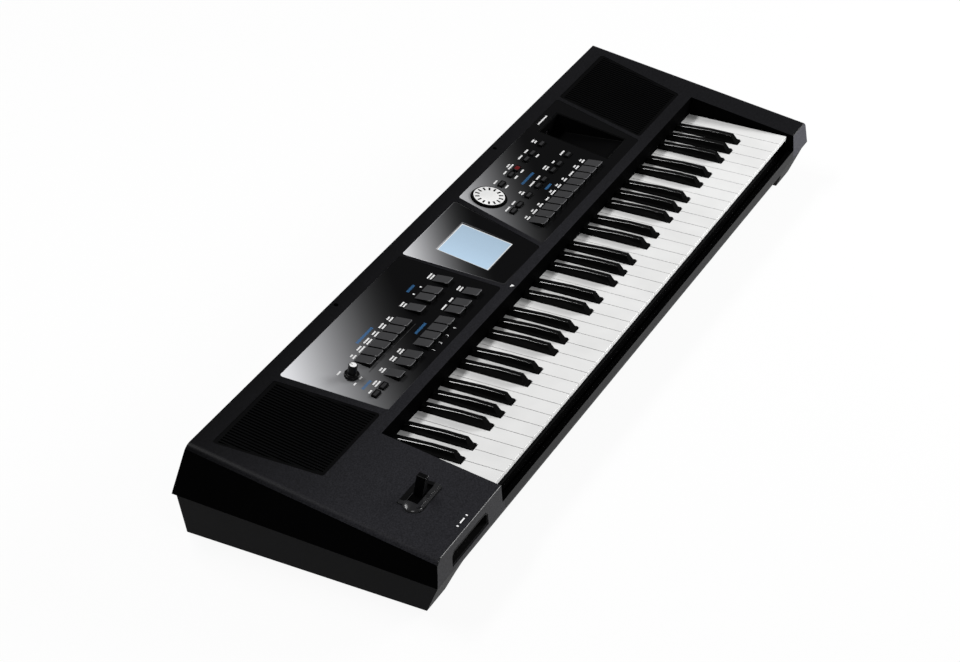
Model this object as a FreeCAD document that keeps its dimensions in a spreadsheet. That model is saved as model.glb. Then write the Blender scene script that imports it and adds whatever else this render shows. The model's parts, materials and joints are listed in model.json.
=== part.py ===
import FreeCAD, Part
import os

# Arranger keyboard, sixty-one keys. Millimetres, +X to the treble end, +Y to the back, +Z up.
# The origin is under the middle of the case, on the surface that the rubber feet stand on.

doc = FreeCAD.newDocument("arranger_keyboard")
sheet = doc.addObject("Spreadsheet::Sheet", "Sizes")

SIZES = {
    # keys
    "key_pitch": 23.4,
    "key_gap": 1.0,
    "key_length": 133.2,
    "key_height": 18.0,
    "key_wall": 1.8,
    "key_top_thickness": 2.4,
    "key_lip_height": 5.0,
    "key_lip_overhang": 9.0,
    "key_travel": 10.0,
    "key_tail_length": 54.0,
    "key_tail_width": 8.0,
    "key_tail_drop": 2.0,
    "key_waist_length": 10.0,
    "sharp_length": 84.5,
    "sharp_width": 11.6,
    "sharp_top_width": 7.0,
    "sharp_height": 10.2,
    "sharp_front_slope": 6.6,
    "sharp_nib_length": 2.8,
    "sharp_nib_height": 2.2,
    "sharp_fall": 3.2,
    "sharp_fall_length": 47.0,
    "sharp_spread_of_two": 2.3,
    "sharp_spread_of_three": 3.4,
    # key bed
    "pivot_radius": 2.0,
    "running_clearance": 0.05,
    "rib_thickness": 2.0,
    "rib_margin": 5.0,
    "chassis_thickness": 2.5,
    "chassis_margin": 1.0,
    "post_radius": 4.0,
    "felt_width": 10.0,
    "felt_thickness": 2.0,
    "felt_gap": 0.3,
    "contact_board_width": 30.0,
    "board_thickness": 1.6,
    "board_post_height": 6.0,
    "panel_post_radius": 2.4,
    # case
    "key_top_height": 77.7,
    "key_side_gap": 2.0,
    "key_back_gap": 1.6,
    "bass_block_width": 150.5,
    "treble_block_width": 48.1,
    "front_ledge": 11.1,
    "control_depth": 173.3,
    "fallboard_height": 23.9,
    "fallboard_gap": 1.5,
    "panel_tilt": 8.8,
    "seam_tilt": 2.87,
    "seam_drop": 30.3,
    "rail_drop": 19.7,
    "rail_depth": 7.5,
    "case_wall": 3.0,
    "top_thickness": 4.0,
    "top_edge_radius": 9.0,
    "lip_step": 1.2,
    "floor_height": 25.5,
    "runner_width": 40.0,
    "runner_slope": 8.0,
    "front_relief_height": 10.0,
    "front_relief_depth": 16.0,
    "foot_height": 3.5,
    "foot_radius": 8.0,
    "boss_radius": 4.0,
    "screw_radius": 1.5,
    "screw_length": 12.0,
    "screw_head_radius": 3.0,
    "screw_head_height": 2.0,
    "rest_socket_radius": 3.0,
    "rest_socket_depth": 18.0,
    "rest_socket_wall": 3.0,
    "rest_socket_inset": 23.0,
    # panels, grilles and what is on them
    "panel_thickness": 2.0,
    "panel_sink": 0.3,
    "panel_ledge": 5.0,
    "panel_clearance": 0.2,
    "panel_corner_radius": 4.0,
    "grille_rib": 2.2,
    "grille_slot": 2.4,
    "grille_frame": 4.0,
    "speaker_radius": 46.0,
    "speaker_flange": 6.0,
    "speaker_flange_thickness": 2.5,
    "speaker_depth": 26.0,
    "magnet_radius": 22.0,
    "magnet_height": 12.0,
    "cone_thickness": 1.5,
    "button_gap": 2.6,
    "button_clearance": 0.3,
    "button_rise": 5.5,
    "button_travel": 1.0,
    "button_flange": 1.2,
    "small_button_width": 13.0,
    "small_button_depth": 7.0,
    "small_button_rise": 2.0,
    "panel_board_drop": 13.0,
    "display_width": 67.0,
    "display_depth": 69.0,
    "display_margin": 5.0,
    "display_thickness": 8.0,
    "knob_radius": 5.2,
    "knob_skirt_radius": 8.7,
    "knob_skirt_height": 4.0,
    "knob_height": 16.0,
    "knob_lift": 0.5,
    "shaft_radius": 3.0,
    "pot_radius": 8.5,
    "dial_radius": 21.0,
    "dial_gap": 1.6,
    "dial_rise": 2.4,
    "dial_thickness": 4.0,
    "encoder_radius": 10.0,
    "stick_pocket_width": 55.5,
    "stick_pocket_deep": 26.0,
    "stick_pocket_shallow": 4.0,
    "stick_pocket_wall": 1.8,
    "stick_socket_width": 14.0,
    "stick_socket_height": 7.0,
    "stick_socket_length": 14.0,
    "stick_socket_rise": 5.5,
    # bender
    "bender_length": 44.0,
    "bender_width": 21.0,
    "bender_flange": 3.5,
    "bender_rise": 4.5,
    "bender_draft": 2.0,
    "bender_deep": 12.0,
    "bender_drum_radius": 17.0,
    "bender_drum_width": 13.0,
    "bender_axle_radius": 2.0,
    "bender_axle_drop": 21.0,
    "bender_lever_height": 27.0,
    "bender_lever_width": 10.0,
    "bender_lever_depth": 11.0,
    # sockets
    "front_socket_width": 82.0,
    "front_socket_height": 17.0,
    "front_socket_depth": 17.0,
    "front_socket_rise": 5.0,
    "front_socket_wall": 1.6,
    "front_socket_spacing": 20.0,
    "front_socket_chamfer": 5.0,
    "jack_radius": 3.2,
    "jack_nut_radius": 6.5,
    "jack_length": 16.0,
    "rear_socket_radius": 5.5,
    "rear_socket_length": 14.0,
    "rear_socket_spacing": 30.0,
    "rear_socket_rise": 14.0,
    "fit_clearance": 0.3,
    "overrun": 5.0,
}

for row, (alias, number) in enumerate(SIZES.items(), start=1):
    sheet.set(f"A{row}", alias)
    sheet.set(f"B{row}", str(number))
    sheet.setAlias(f"B{row}", alias)
doc.recompute()

# Counts, and places as shares of the case width (across) and of the control depth (back from the fallboard).
WHITE_KEYS = 36
WHITES_IN_OCTAVE = 7
OCTAVES = 5
RIB_BOUNDARIES = [3, 7]

TRAY_SHARES = {
    # back left, back right, front left, front right, front edge, back edge
    "left_speaker_grille": (-0.4718, -0.3474, -0.4503, -0.3287, 0.0906, 0.7946),
    "left_control_panel": (-0.3373, -0.0703, -0.3182, -0.0526, 0.0756, 0.7946),
    "display_panel": (-0.0656, 0.0656, -0.0453, 0.0453, 0.0756, 0.7946),
    "right_control_panel": (0.0746, 0.3407, 0.0526, 0.3215, 0.0756, 0.7946),
    "right_speaker_grille": (0.3474, 0.4718, 0.3287, 0.4503, 0.0906, 0.7946),
}
BUTTON_PITCH_SHARE = 0.01646
UPPER_ROW_SHARES = (0.3705, 0.4888)
LOWER_ROW_SHARES = (0.1541, 0.2666)
BUTTON_BANK_SHARES = {
    # start of each bank of wedge buttons, and how many it has
    "memory_buttons": (UPPER_ROW_SHARES, [(-0.2696, 6)]),
    "utility_buttons": (UPPER_ROW_SHARES, [(-0.1555, 1), (-0.1316, 2), (-0.0909, 1)]),
    "transport_buttons": (LOWER_ROW_SHARES, [(-0.2708, 1), (-0.2469, 2), (-0.1321, 2), (-0.0909, 1)]),
    "variation_buttons": (LOWER_ROW_SHARES, [(-0.2055, 4)]),
    "tone_buttons": (LOWER_ROW_SHARES, [(0.0800, 10)]),
}
SMALL_BUTTON_SHARES = {
    # row, and the middle of each button
    "tempo_buttons": (0.2100, [-0.3031, -0.2868]),
    "upper_function_buttons": (0.6215, [0.1296, 0.1546, 0.1703, 0.1956, 0.2119, 0.2373]),
    "lower_function_buttons": (0.4080, [0.0890, 0.1047, 0.1292, 0.1541, 0.1703, 0.1948, 0.2119, 0.2364]),
}
RIGHT_PANEL_BUTTONS = ["tone_buttons", "upper_function_buttons", "lower_function_buttons"]
LEFT_PANEL_BUTTONS = ["memory_buttons", "utility_buttons", "transport_buttons", "variation_buttons",
                      "tempo_buttons"]
KNOB_SHARES = (-0.2926, 0.4212)
DIAL_SHARES = (0.0963, 0.6215)
DISPLAY_SHARE = 0.4340
STICK_POCKET_SHARES = (0.2868, 0.4368)
STICK_POCKET_DEPTH_SHARE = 0.5655
PANEL_BOARD_SHARES = {"left": (-0.318, -0.0630, 0.10, 0.53), "right": (0.064, 0.2550, 0.10, 0.72)}
PANEL_POST_SHARES = {
    "left": [(-0.308, 0.125), (-0.308, 0.500), (-0.0670, 0.125), (-0.0730, 0.510)],
    "right": [(0.0690, 0.125), (0.0735, 0.340), (0.2507, 0.125), (0.2507, 0.680)],
}
SPEAKER_SHARES = (0.400, 0.5000)
BENDER_SHARES = (0.5680, 0.4090)
FRONT_SOCKET_SHARE = 0.5034
REAR_SOCKET_SHARE = 0.10
REST_SOCKET_SHARE = 0.1933
MAIN_BOARD_SHARES = (0.15, 0.44, 0.74)
POST_SHARES = [(-0.33, -0.37), (-0.1, -0.37), (0.15, -0.37), (0.4, -0.37), (-0.33, 0.08), (0.4, 0.08)]
BACK_BOSS_SHARES = [(-0.43, 0.425), (-0.215, 0.425), (0, 0.425), (0.215, 0.425), (0.43, 0.425)]
BASS_BOSS_SHARES = [(0.6811, -0.392), (0.8818, -0.392), (0.5208, 0)]
TREBLE_BOSS_SHARES = [(0.5214, -0.345)]
FOOT_SHARE = 0.40

# Derived sizes and places, as expressions on the sheet.
KEYS_WIDTH = f"({WHITE_KEYS} * @key_pitch)"
OCTAVE = f"({WHITES_IN_OCTAVE} * @key_pitch)"
CASE_WIDTH = f"(@bass_block_width + @treble_block_width + 2 * @key_side_gap + {KEYS_WIDTH})"
CASE_DEPTH = "(@front_ledge + @key_length + @key_back_gap + @control_depth)"
HALF_WIDTH = f"({CASE_WIDTH} / 2)"
CASE_FRONT = f"(-{CASE_DEPTH} / 2)"
CASE_BACK = f"({CASE_DEPTH} / 2)"
WELL_LEFT = f"(@bass_block_width - {HALF_WIDTH})"
WELL_RIGHT = f"({HALF_WIDTH} - @treble_block_width)"
KEYS_LEFT = f"({WELL_LEFT} + @key_side_gap)"
KEY_FRONT = f"({CASE_FRONT} + @front_ledge)"
KEY_BACK = f"({KEY_FRONT} + @key_length)"
WELL_BACK = f"({KEY_BACK} + @key_back_gap)"
SHARP_FRONT = f"({KEY_BACK} - @sharp_length)"
NOTCH = f"({SHARP_FRONT} - @key_gap)"
WAIST = f"({WELL_BACK} + @key_waist_length)"
PIVOT_Y = f"({WELL_BACK} + @key_tail_length)"
TAIL_END = f"({PIVOT_Y} + @pivot_radius + @rib_margin)"
KEY_BOTTOM = "(@key_top_height - @key_height)"
PIVOT_Z = f"({KEY_BOTTOM} + @key_height / 2)"
PANEL_Z = f"(@key_top_height + @fallboard_height - {WELL_BACK} * tan(@panel_tilt))"
SEAM_FRONT = "(@key_top_height - @seam_drop)"
RAIL_TOP = "(@key_top_height - @rail_drop)"
SEAM_Z = f"({SEAM_FRONT} + {CASE_DEPTH} / 2 * tan(@seam_tilt))"
SEAM_HALF = f"({CASE_DEPTH} / 2 / cos(@seam_tilt))"
RISE = f"({PANEL_Z} - {SEAM_Z} + {CASE_DEPTH} * tan(@panel_tilt))"
DROP = f"({SEAM_Z} + {CASE_DEPTH} * tan(@seam_tilt))"
HIGH = f"({PANEL_Z} + {CASE_DEPTH})"
FELT_FRONT = f"({KEY_FRONT} + @key_lip_overhang + @key_wall)"
FELT_DROP = f"(@key_travel * ({PIVOT_Y} - {FELT_FRONT}) / ({PIVOT_Y} - {KEY_FRONT}))"
CHASSIS_TOP = f"({KEY_BOTTOM} - {FELT_DROP} - @felt_gap - @felt_thickness)"
CHASSIS_LEFT = f"({WELL_LEFT} + @chassis_margin)"
CHASSIS_RIGHT = f"({WELL_RIGHT} - @chassis_margin)"
CHASSIS_FRONT = f"({KEY_FRONT} + @rib_margin)"
CHASSIS_BACK = f"({TAIL_END} + @rib_margin)"
PANEL_FACE = "(-@panel_sink)"
PANEL_UNDER = "(-@panel_sink - @panel_thickness)"
BOARD_TOP = "(-@panel_board_drop)"
RUNNER_FLOOR = "(@foot_height + @case_wall)"

# Slopes of the case walls, as run over rise.
END_FLARE_SHARE = 0.155
BACK_FLARE_SHARE = 0.209
FRONT_FLARE_SHARE = 0.124
LOWER_END_SHARE = 0.245
LOWER_BACK_SHARE = 0.12
LOWER_FRONT_SHARE = 0.36


def full(text):
    return str(text).replace("@", "Sizes.")


def bind(item, prop, text):
    item.setExpression(prop, full(text))


def value(text):
    return float(sheet.evalExpression(full(text)))


PLACES = {}
UPRIGHT = "0"
TO_FRONT = "90"
TO_BACK = "-90"


def place(item, x="0", y="0", z="0", lean=UPRIGHT):
    """Puts a piece in its place, where its own Z may lean to the front or to the back."""
    PLACES[item.Name] = (x, y, z, lean)
    if lean != UPRIGHT:
        turn(item, lean)
    bind(item, "Placement.Base.x", x)
    bind(item, "Placement.Base.y", y)
    bind(item, "Placement.Base.z", z)
    return item


def turn(item, angle):
    side = -1 if angle.startswith("-") else 1
    item.Placement = FreeCAD.Placement(FreeCAD.Vector(), FreeCAD.Rotation(FreeCAD.Vector(side, 0, 0), 1))
    bind(item, "Placement.Rotation.Angle", f"{side} * ({angle})")


def on_panel(item):
    """Takes a piece that was laid out flat to the sloping top."""
    x, y, z, lean = PLACES.get(item.Name, ("0", "0", "0", UPRIGHT))
    turn(item, f"{lean} + @panel_tilt")
    rise = f"{y} * sin(@panel_tilt) + {z} * cos(@panel_tilt) + {PANEL_Z}"
    bind(item, "Placement.Base.x", x)
    bind(item, "Placement.Base.y", f"{y} * cos(@panel_tilt) - {z} * sin(@panel_tilt)")
    bind(item, "Placement.Base.z", rise)
    return item


def block(name, x, y, z):
    """A box between two bounds along each axis."""
    item = doc.addObject("Part::Box", name)
    for prop, (low, high) in zip(("Length", "Width", "Height"), (x, y, z)):
        bind(item, prop, f"{high} - {low}")
    return place(item, x[0], y[0], z[0])


def taper(name, start, end, span):
    """A block that tapers along Y, from one pair of X and Z bounds to another."""
    item = doc.addObject("Part::Wedge", name)
    names = ("Xmin", "Xmax", "Zmin", "Zmax")
    for prop, text in zip(names, start):
        bind(item, prop, text)
    for prop, text in zip(("X2min", "X2max", "Z2min", "Z2max"), end):
        bind(item, prop, text)
    bind(item, "Ymin", span[0])
    bind(item, "Ymax", span[1])
    return item


def rod(name, radius, length, x, y, z, lean=UPRIGHT):
    item = doc.addObject("Part::Cylinder", name)
    bind(item, "Radius", radius)
    bind(item, "Height", length)
    return place(item, x, y, z, lean)


def crosswise_rod(name, radius, length, x, y, z):
    item = doc.addObject("Part::Cylinder", name)
    bind(item, "Radius", radius)
    bind(item, "Height", length)
    item.Placement = FreeCAD.Placement(FreeCAD.Vector(), FreeCAD.Rotation(FreeCAD.Vector(0, 1, 0), 90))
    return place(item, x, y, z)


def cone(name, low_radius, high_radius, height, x, y, z):
    item = doc.addObject("Part::Cone", name)
    bind(item, "Radius1", low_radius)
    bind(item, "Radius2", high_radius)
    bind(item, "Height", height)
    return place(item, x, y, z)


def join(name, items):
    if len(items) == 1:
        return items[0]
    item = doc.addObject("Part::MultiFuse", name)
    item.Shapes = items
    return item


def cut(name, base, tools):
    item = doc.addObject("Part::Cut", name)
    item.Base = base
    item.Tool = join(name + "_cuts", tools)
    return item


def rounded(item, radius, wanted):
    """Fillets the edges that a test picks out."""
    doc.recompute()
    size = value(radius)
    picked = [(number, size, size) for number, edge in enumerate(item.Shape.Edges, start=1) if wanted(edge)]
    result = doc.addObject("Part::Fillet", item.Name + "_rounded")
    result.Base = item
    result.Edges = picked
    return result


def upright(edge):
    ends = [vertex.Point for vertex in edge.Vertexes]
    run = ends[-1] - ends[0]
    return abs(run.z) > abs(run.x) + abs(run.y)


NODES = []


def node(name, item):
    """Names a finished sub-part, whose file takes the same name."""
    item.Label = name
    NODES.append(item)
    return item


def group(name, items):
    """One node of several separate solids."""
    item = doc.addObject("Part::Compound", name)
    item.Links = items
    return node(name, item)


def across(share):
    return f"({share} * {CASE_WIDTH})"


def on_bass_block(share):
    """A place across, from a share of the bass block that starts at its left end."""
    return f"({share} * @bass_block_width - {HALF_WIDTH})"


def back(share):
    """A distance up the sloping top, from a share of the control depth."""
    return f"(({WELL_BACK} + {share} * @control_depth) / cos(@panel_tilt))"


def grown(bounds, margin):
    return (f"({bounds[0]} - {margin})", f"({bounds[1]} + {margin})")


def about(middle, width):
    return (f"({middle} - {width} / 2)", f"({middle} + {width} / 2)")


# Inserts of the sloping top, in the frame of that slope


def tray(name, insert, inset, low, high):
    """The trapezoid of an insert, drawn in by a margin."""
    back_left, back_right, front_left, front_right, front, rear = TRAY_SHARES[insert]
    start = (f"{across(front_left)} + {inset}", f"{across(front_right)} - {inset}", low, high)
    end = (f"{across(back_left)} + {inset}", f"{across(back_right)} - {inset}", low, high)
    return taper(name, start, end, (f"{back(front)} + {inset}", f"{back(rear)} - {inset}"))


def wedge_bounds(start, row, index):
    left = f"({across(start)} + {index} * {across(BUTTON_PITCH_SHARE)} + @button_gap / 2)"
    width = f"({across(BUTTON_PITCH_SHARE)} - @button_gap)"
    return (left, f"({left} + {width})"), (back(row[0]), back(row[1]))


def bank_hole(name, start, row, count):
    first = wedge_bounds(start, row, 0)[0][0]
    last = wedge_bounds(start, row, count - 1)[0][1]
    x = grown((first, last), "@button_clearance")
    y = grown((back(row[0]), back(row[1])), "@button_clearance")
    return block(name, x, y, ("(-@top_thickness)", "@overrun"))


def small_bounds(row, middle):
    return about(across(middle), "@small_button_width"), about(back(row), "@small_button_depth")


def button_holes(banks):
    holes = []
    for bank in banks:
        if bank in BUTTON_BANK_SHARES:
            row, starts = BUTTON_BANK_SHARES[bank]
            for number, (start, count) in enumerate(starts):
                holes.append(bank_hole(f"{bank}_hole_{number}", start, row, count))
        else:
            row, middles = SMALL_BUTTON_SHARES[bank]
            for number, middle in enumerate(middles):
                x, y = small_bounds(row, middle)
                x = grown(x, "@button_clearance")
                y = grown(y, "@button_clearance")
                holes.append(block(f"{bank}_hole_{number}", x, y, ("(-@top_thickness)", "@overrun")))
    return holes


def insert_blank(name):
    plain = tray(name + "_blank", name, "@panel_clearance", PANEL_UNDER, PANEL_FACE)
    return rounded(plain, "@panel_corner_radius - @panel_clearance", upright)


def posted(name, side, plate):
    """A panel with the posts that carry its board."""
    posts = []
    for x, v in PANEL_POST_SHARES[side]:
        height = f"{PANEL_FACE} - @panel_sink - {BOARD_TOP}"
        post = f"{name}_post_{len(posts)}"
        posts.append(rod(post, "@panel_post_radius", height, across(x), back(v), BOARD_TOP))
    return join(name, [plate] + posts)


KNOB_X, KNOB_V = across(KNOB_SHARES[0]), back(KNOB_SHARES[1])
DIAL_X, DIAL_V = across(DIAL_SHARES[0]), back(DIAL_SHARES[1])
DISPLAY_X = about("0", "@display_width")
DISPLAY_V = about(back(DISPLAY_SHARE), "@display_depth")
STICK_X = about(across(STICK_POCKET_SHARES[0]), "@stick_pocket_width")
STICK_V = about(back(STICK_POCKET_SHARES[1]), f"({STICK_POCKET_DEPTH_SHARE} * @control_depth)")
THROUGH = ("(-@top_thickness)", "@overrun")


def control_panels():
    knob_hole = rod("knob_hole", "@shaft_radius + @fit_clearance", "2 * @overrun",
                    KNOB_X, KNOB_V, "(-@overrun)")
    holes = button_holes(LEFT_PANEL_BUTTONS) + [knob_hole]
    plate = cut("left_panel", insert_blank("left_control_panel"), holes)
    node("left_control_panel", on_panel(posted("left_panel_unit", "left", plate)))
    window = block("display_window", DISPLAY_X, DISPLAY_V, THROUGH)
    node("display_panel", on_panel(cut("middle_panel", insert_blank("display_panel"), [window])))
    dial_hole = rod("dial_hole", "@dial_radius + @dial_gap", "2 * @overrun", DIAL_X, DIAL_V, "(-@overrun)")
    stick_x = grown(STICK_X, "@fit_clearance")
    stick_v = grown(STICK_V, "@fit_clearance")
    stick_hole = block("stick_hole", stick_x, stick_v, THROUGH)
    holes = button_holes(RIGHT_PANEL_BUTTONS) + [dial_hole, stick_hole]
    plate = cut("right_panel", insert_blank("right_control_panel"), holes)
    node("right_control_panel", on_panel(posted("right_panel_unit", "right", plate)))


def speaker_grille(name):
    """A trapezoid insert with a frame round a row of slots that run front to back."""
    back_left, back_right, front_left, front_right, front, rear = TRAY_SHARES[name]
    field = tray(name + "_field", name, "@grille_frame", "(-@top_thickness)", "@overrun")
    left = across(min(back_left, front_left))
    width = value(across(max(back_right, front_right))) - value(left)
    pitch = value("@grille_rib + @grille_slot")
    slots = []
    for number in range(int(width / pitch) + 1):
        x = f"({left} + {number} * (@grille_rib + @grille_slot))"
        bounds = (x, f"({x} + @grille_slot)")
        rows = (f"{back(front)} - @overrun", f"{back(rear)} + @overrun")
        slots.append(block(f"{name}_slot_{number}", bounds, rows, THROUGH))
    comb = doc.addObject("Part::Compound", name + "_comb")
    comb.Links = slots
    openings = doc.addObject("Part::Common", name + "_openings")
    openings.Base = field
    openings.Tool = comb
    node(name, on_panel(cut(name + "_plate", insert_blank(name), [openings])))


def speakers():
    """Two loudspeakers, each a basket with its cone, on the underside of the top."""
    units = []
    for side in (-1, 1):
        x = across(side * SPEAKER_SHARES[0])
        v = back(SPEAKER_SHARES[1])
        name = f"speaker_{side + 1}"
        flange_low = "(-@top_thickness - @speaker_flange_thickness)"
        basket_low = f"({flange_low} - @speaker_depth)"
        magnet_low = f"({basket_low} - @magnet_height)"
        flange = rod(name + "_flange", "@speaker_radius + @speaker_flange", "@speaker_flange_thickness",
                     x, v, flange_low)
        basket = cone(name + "_basket", "@magnet_radius", "@speaker_radius", "@speaker_depth",
                      x, v, basket_low)
        magnet = rod(name + "_magnet", "@magnet_radius", "@magnet_height", x, v, magnet_low)
        hollow_low = f"({basket_low} + @cone_thickness)"
        hollow_height = "(@speaker_depth + @speaker_flange_thickness)"
        inner = ("@magnet_radius - 2 * @cone_thickness", "@speaker_radius - 2 * @cone_thickness")
        hollow = cone(name + "_hollow", inner[0], inner[1], hollow_height, x, v, hollow_low)
        solid = join(name + "_solid", [flange, basket, magnet])
        units.append(on_panel(cut(name, solid, [hollow])))
    group("speakers", units)


def display_module():
    glass_x = (f"({DISPLAY_X[0]} + @fit_clearance)", f"({DISPLAY_X[1]} - @fit_clearance)")
    glass_v = (f"({DISPLAY_V[0]} + @fit_clearance)", f"({DISPLAY_V[1]} - @fit_clearance)")
    glass = block("display_glass", glass_x, glass_v, (PANEL_UNDER, f"({PANEL_FACE} - @panel_sink)"))
    frame_z = (f"({PANEL_UNDER} - @display_thickness)", PANEL_UNDER)
    frame_x = grown(DISPLAY_X, "@display_margin")
    frame_v = grown(DISPLAY_V, "@display_margin")
    frame = block("display_frame", frame_x, frame_v, frame_z)
    node("display_module", on_panel(join("display_unit", [glass, frame])))


BUTTON_FOOT = f"({PANEL_UNDER} - @button_clearance - @button_flange)"


def button(name, cap, x, y):
    """A cap on a flange that holds it under the panel, with a stem that reaches down to the board."""
    flange_z = (BUTTON_FOOT, f"({BUTTON_FOOT} + @button_flange)")
    flange_y = grown(y, "(@button_flange + @button_clearance)")
    flange = block(name + "_flange", x, flange_y, flange_z)
    stem_z = (f"({BOARD_TOP} + @button_travel + @fit_clearance)", BUTTON_FOOT)
    middle_x = f"(({x[0]} + {x[1]}) / 2)"
    middle_y = f"(({y[0]} + {y[1]}) / 2)"
    stem = block(name + "_stem", about(middle_x, "@shaft_radius"), about(middle_y, "@shaft_radius"), stem_z)
    return on_panel(join(name, [cap, flange, stem]))


def wedge_button(name, x, y):
    """A button that is flush with the panel at its back and raised at its front."""
    start = (x[0], x[1], BUTTON_FOOT, "@button_rise")
    end = (x[0], x[1], BUTTON_FOOT, "(@panel_sink)")
    return button(name, taper(name + "_cap", start, end, y), x, y)


def small_button(name, x, y):
    cap = block(name + "_cap", x, y, (BUTTON_FOOT, "@small_button_rise"))
    return button(name, cap, x, y)


def buttons():
    for bank, (row, starts) in BUTTON_BANK_SHARES.items():
        caps = []
        for start, count in starts:
            for index in range(count):
                x, y = wedge_bounds(start, row, index)
                caps.append(wedge_button(f"{bank}_{len(caps)}", x, y))
        group(bank, caps)
    for bank, (row, middles) in SMALL_BUTTON_SHARES.items():
        caps = []
        for middle in middles:
            x, y = small_bounds(row, middle)
            caps.append(small_button(f"{bank}_{len(caps)}", x, y))
        group(bank, caps)


def panel_boards():
    boards = []
    for side, (left, right, front, rear) in PANEL_BOARD_SHARES.items():
        z = (f"({BOARD_TOP} - @board_thickness)", BOARD_TOP)
        x = (across(left), across(right))
        boards.append(on_panel(block(f"{side}_panel_board", x, (back(front), back(rear)), z)))
    group("panel_boards", boards)


def knob_and_dial():
    shaft_low = f"({BOARD_TOP} + @fit_clearance)"
    body_height = f"({PANEL_UNDER} - {BOARD_TOP})"
    for name, x, v, radius in (("volume_potentiometer", KNOB_X, KNOB_V, "@pot_radius"),
                               ("dial_encoder", DIAL_X, DIAL_V, "@encoder_radius")):
        body = rod(name + "_body", radius, body_height, x, v, BOARD_TOP)
        bore = rod(name + "_bore", "@shaft_radius + @running_clearance", body_height, x, v, shaft_low)
        node(name, on_panel(cut(name, body, [bore])))
    skirt = rod("knob_skirt", "@knob_skirt_radius", "@knob_skirt_height", KNOB_X, KNOB_V, "@knob_lift")
    grip = rod("knob_grip", "@knob_radius", "@knob_height", KNOB_X, KNOB_V, "@knob_lift")
    shaft_foot = f"({shaft_low} + @fit_clearance)"
    shaft_length = f"@knob_lift + @knob_skirt_height - {shaft_foot}"
    shaft = rod("knob_shaft", "@shaft_radius", shaft_length, KNOB_X, KNOB_V, shaft_foot)
    node("volume_knob", on_panel(join("knob", [skirt, grip, shaft])))
    disc_low = "(@dial_rise - @dial_thickness)"
    disc = rod("dial_disc", "@dial_radius", "@dial_thickness", DIAL_X, DIAL_V, disc_low)
    shaft_length = f"@dial_rise - {shaft_foot} - @fit_clearance"
    shaft = rod("dial_shaft", "@shaft_radius", shaft_length, DIAL_X, DIAL_V, shaft_foot)
    node("data_dial", on_panel(join("dial", [disc, shaft])))


def stick_pocket():
    """A tray with a floor that slopes down to the back, where a level socket for a memory stick is."""
    wall = "@stick_pocket_wall"
    start = (STICK_X[0], STICK_X[1], f"(-@stick_pocket_shallow - {wall})", PANEL_FACE)
    end = (STICK_X[0], STICK_X[1], f"(-@stick_pocket_deep - {wall})", PANEL_FACE)
    shell = taper("stick_shell", start, end, STICK_V)
    flange_z = (f"({PANEL_UNDER} - {wall})", PANEL_UNDER)
    flange = block("stick_flange", grown(STICK_X, wall), grown(STICK_V, wall), flange_z)
    inner_x = grown(STICK_X, f"(-{wall})")
    inner_v = grown(STICK_V, f"(-{wall})")
    start = (inner_x[0], inner_x[1], "(-@stick_pocket_shallow)", "@overrun")
    end = (inner_x[0], inner_x[1], "(-@stick_pocket_deep)", "@overrun")
    hollow = taper("stick_hollow", start, end, inner_v)
    basin = on_panel(cut("stick_basin", join("stick_blank", [shell, flange]), [hollow]))
    floor = f"({PANEL_Z} + {inner_v[1]} * sin(@panel_tilt) - @stick_pocket_deep * cos(@panel_tilt))"
    mouth_x = about(across(STICK_POCKET_SHARES[0]), "@stick_socket_width")
    mouth_z = (f"({floor} + @stick_socket_rise)", f"({floor} + @stick_socket_rise + @stick_socket_height)")
    body_x = grown(mouth_x, wall)
    body_z = grown(mouth_z, wall)
    depth_below = f"({PANEL_Z} + {STICK_V[1]} * sin(@panel_tilt) - {body_z[0]})"
    face = f"({STICK_V[1]} * cos(@panel_tilt) + {depth_below} * tan(@panel_tilt))"
    mouth_y = (f"({face} - @stick_socket_length)", f"({face} + @stick_socket_length)")
    node("stick_pocket", cut("stick_tray", basin, [block("stick_mouth", mouth_x, mouth_y, mouth_z)]))
    body = block("socket_body", body_x, (face, mouth_y[1]), body_z)
    bore_y = (mouth_y[0], f"({mouth_y[1]} - {wall})")
    node("stick_socket", cut("stick_port", body, [block("socket_bore", mouth_x, bore_y, mouth_z)]))


# Bender, on the bass block

BENDER_X = on_bass_block(BENDER_SHARES[0])
BENDER_V = f"(({KEY_FRONT} + {BENDER_SHARES[1]} * @key_length) / cos(@panel_tilt))"
RIM_TOP = "(@bender_rise + @overrun)"
BENDER_BOUNDS = (about(BENDER_X, "@bender_length"), about(BENDER_V, "@bender_width"))


def bezel_rim(x, v):
    """A rim with drafted walls, flush with the top at its back and standing up at the player's side."""
    rear = f"(-{v[1]})"
    front = f"(-{v[0]})"
    crest_x = (f"({x[0]} + @bender_draft)", f"({x[1]} - @bender_draft)")
    foot = (*x, rear, front)
    crest = (*crest_x, rear, f"({front} - @bender_draft)")
    body = taper("bezel_rim_body", foot, crest, ("0", "@bender_rise"))
    place(body, lean=TO_FRONT)
    slope = taper("bezel_rim_slope", (*x, "@bender_rise", RIM_TOP), (*x, "@panel_sink", RIM_TOP), v)
    return cut("bezel_rim", body, [slope])


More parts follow.
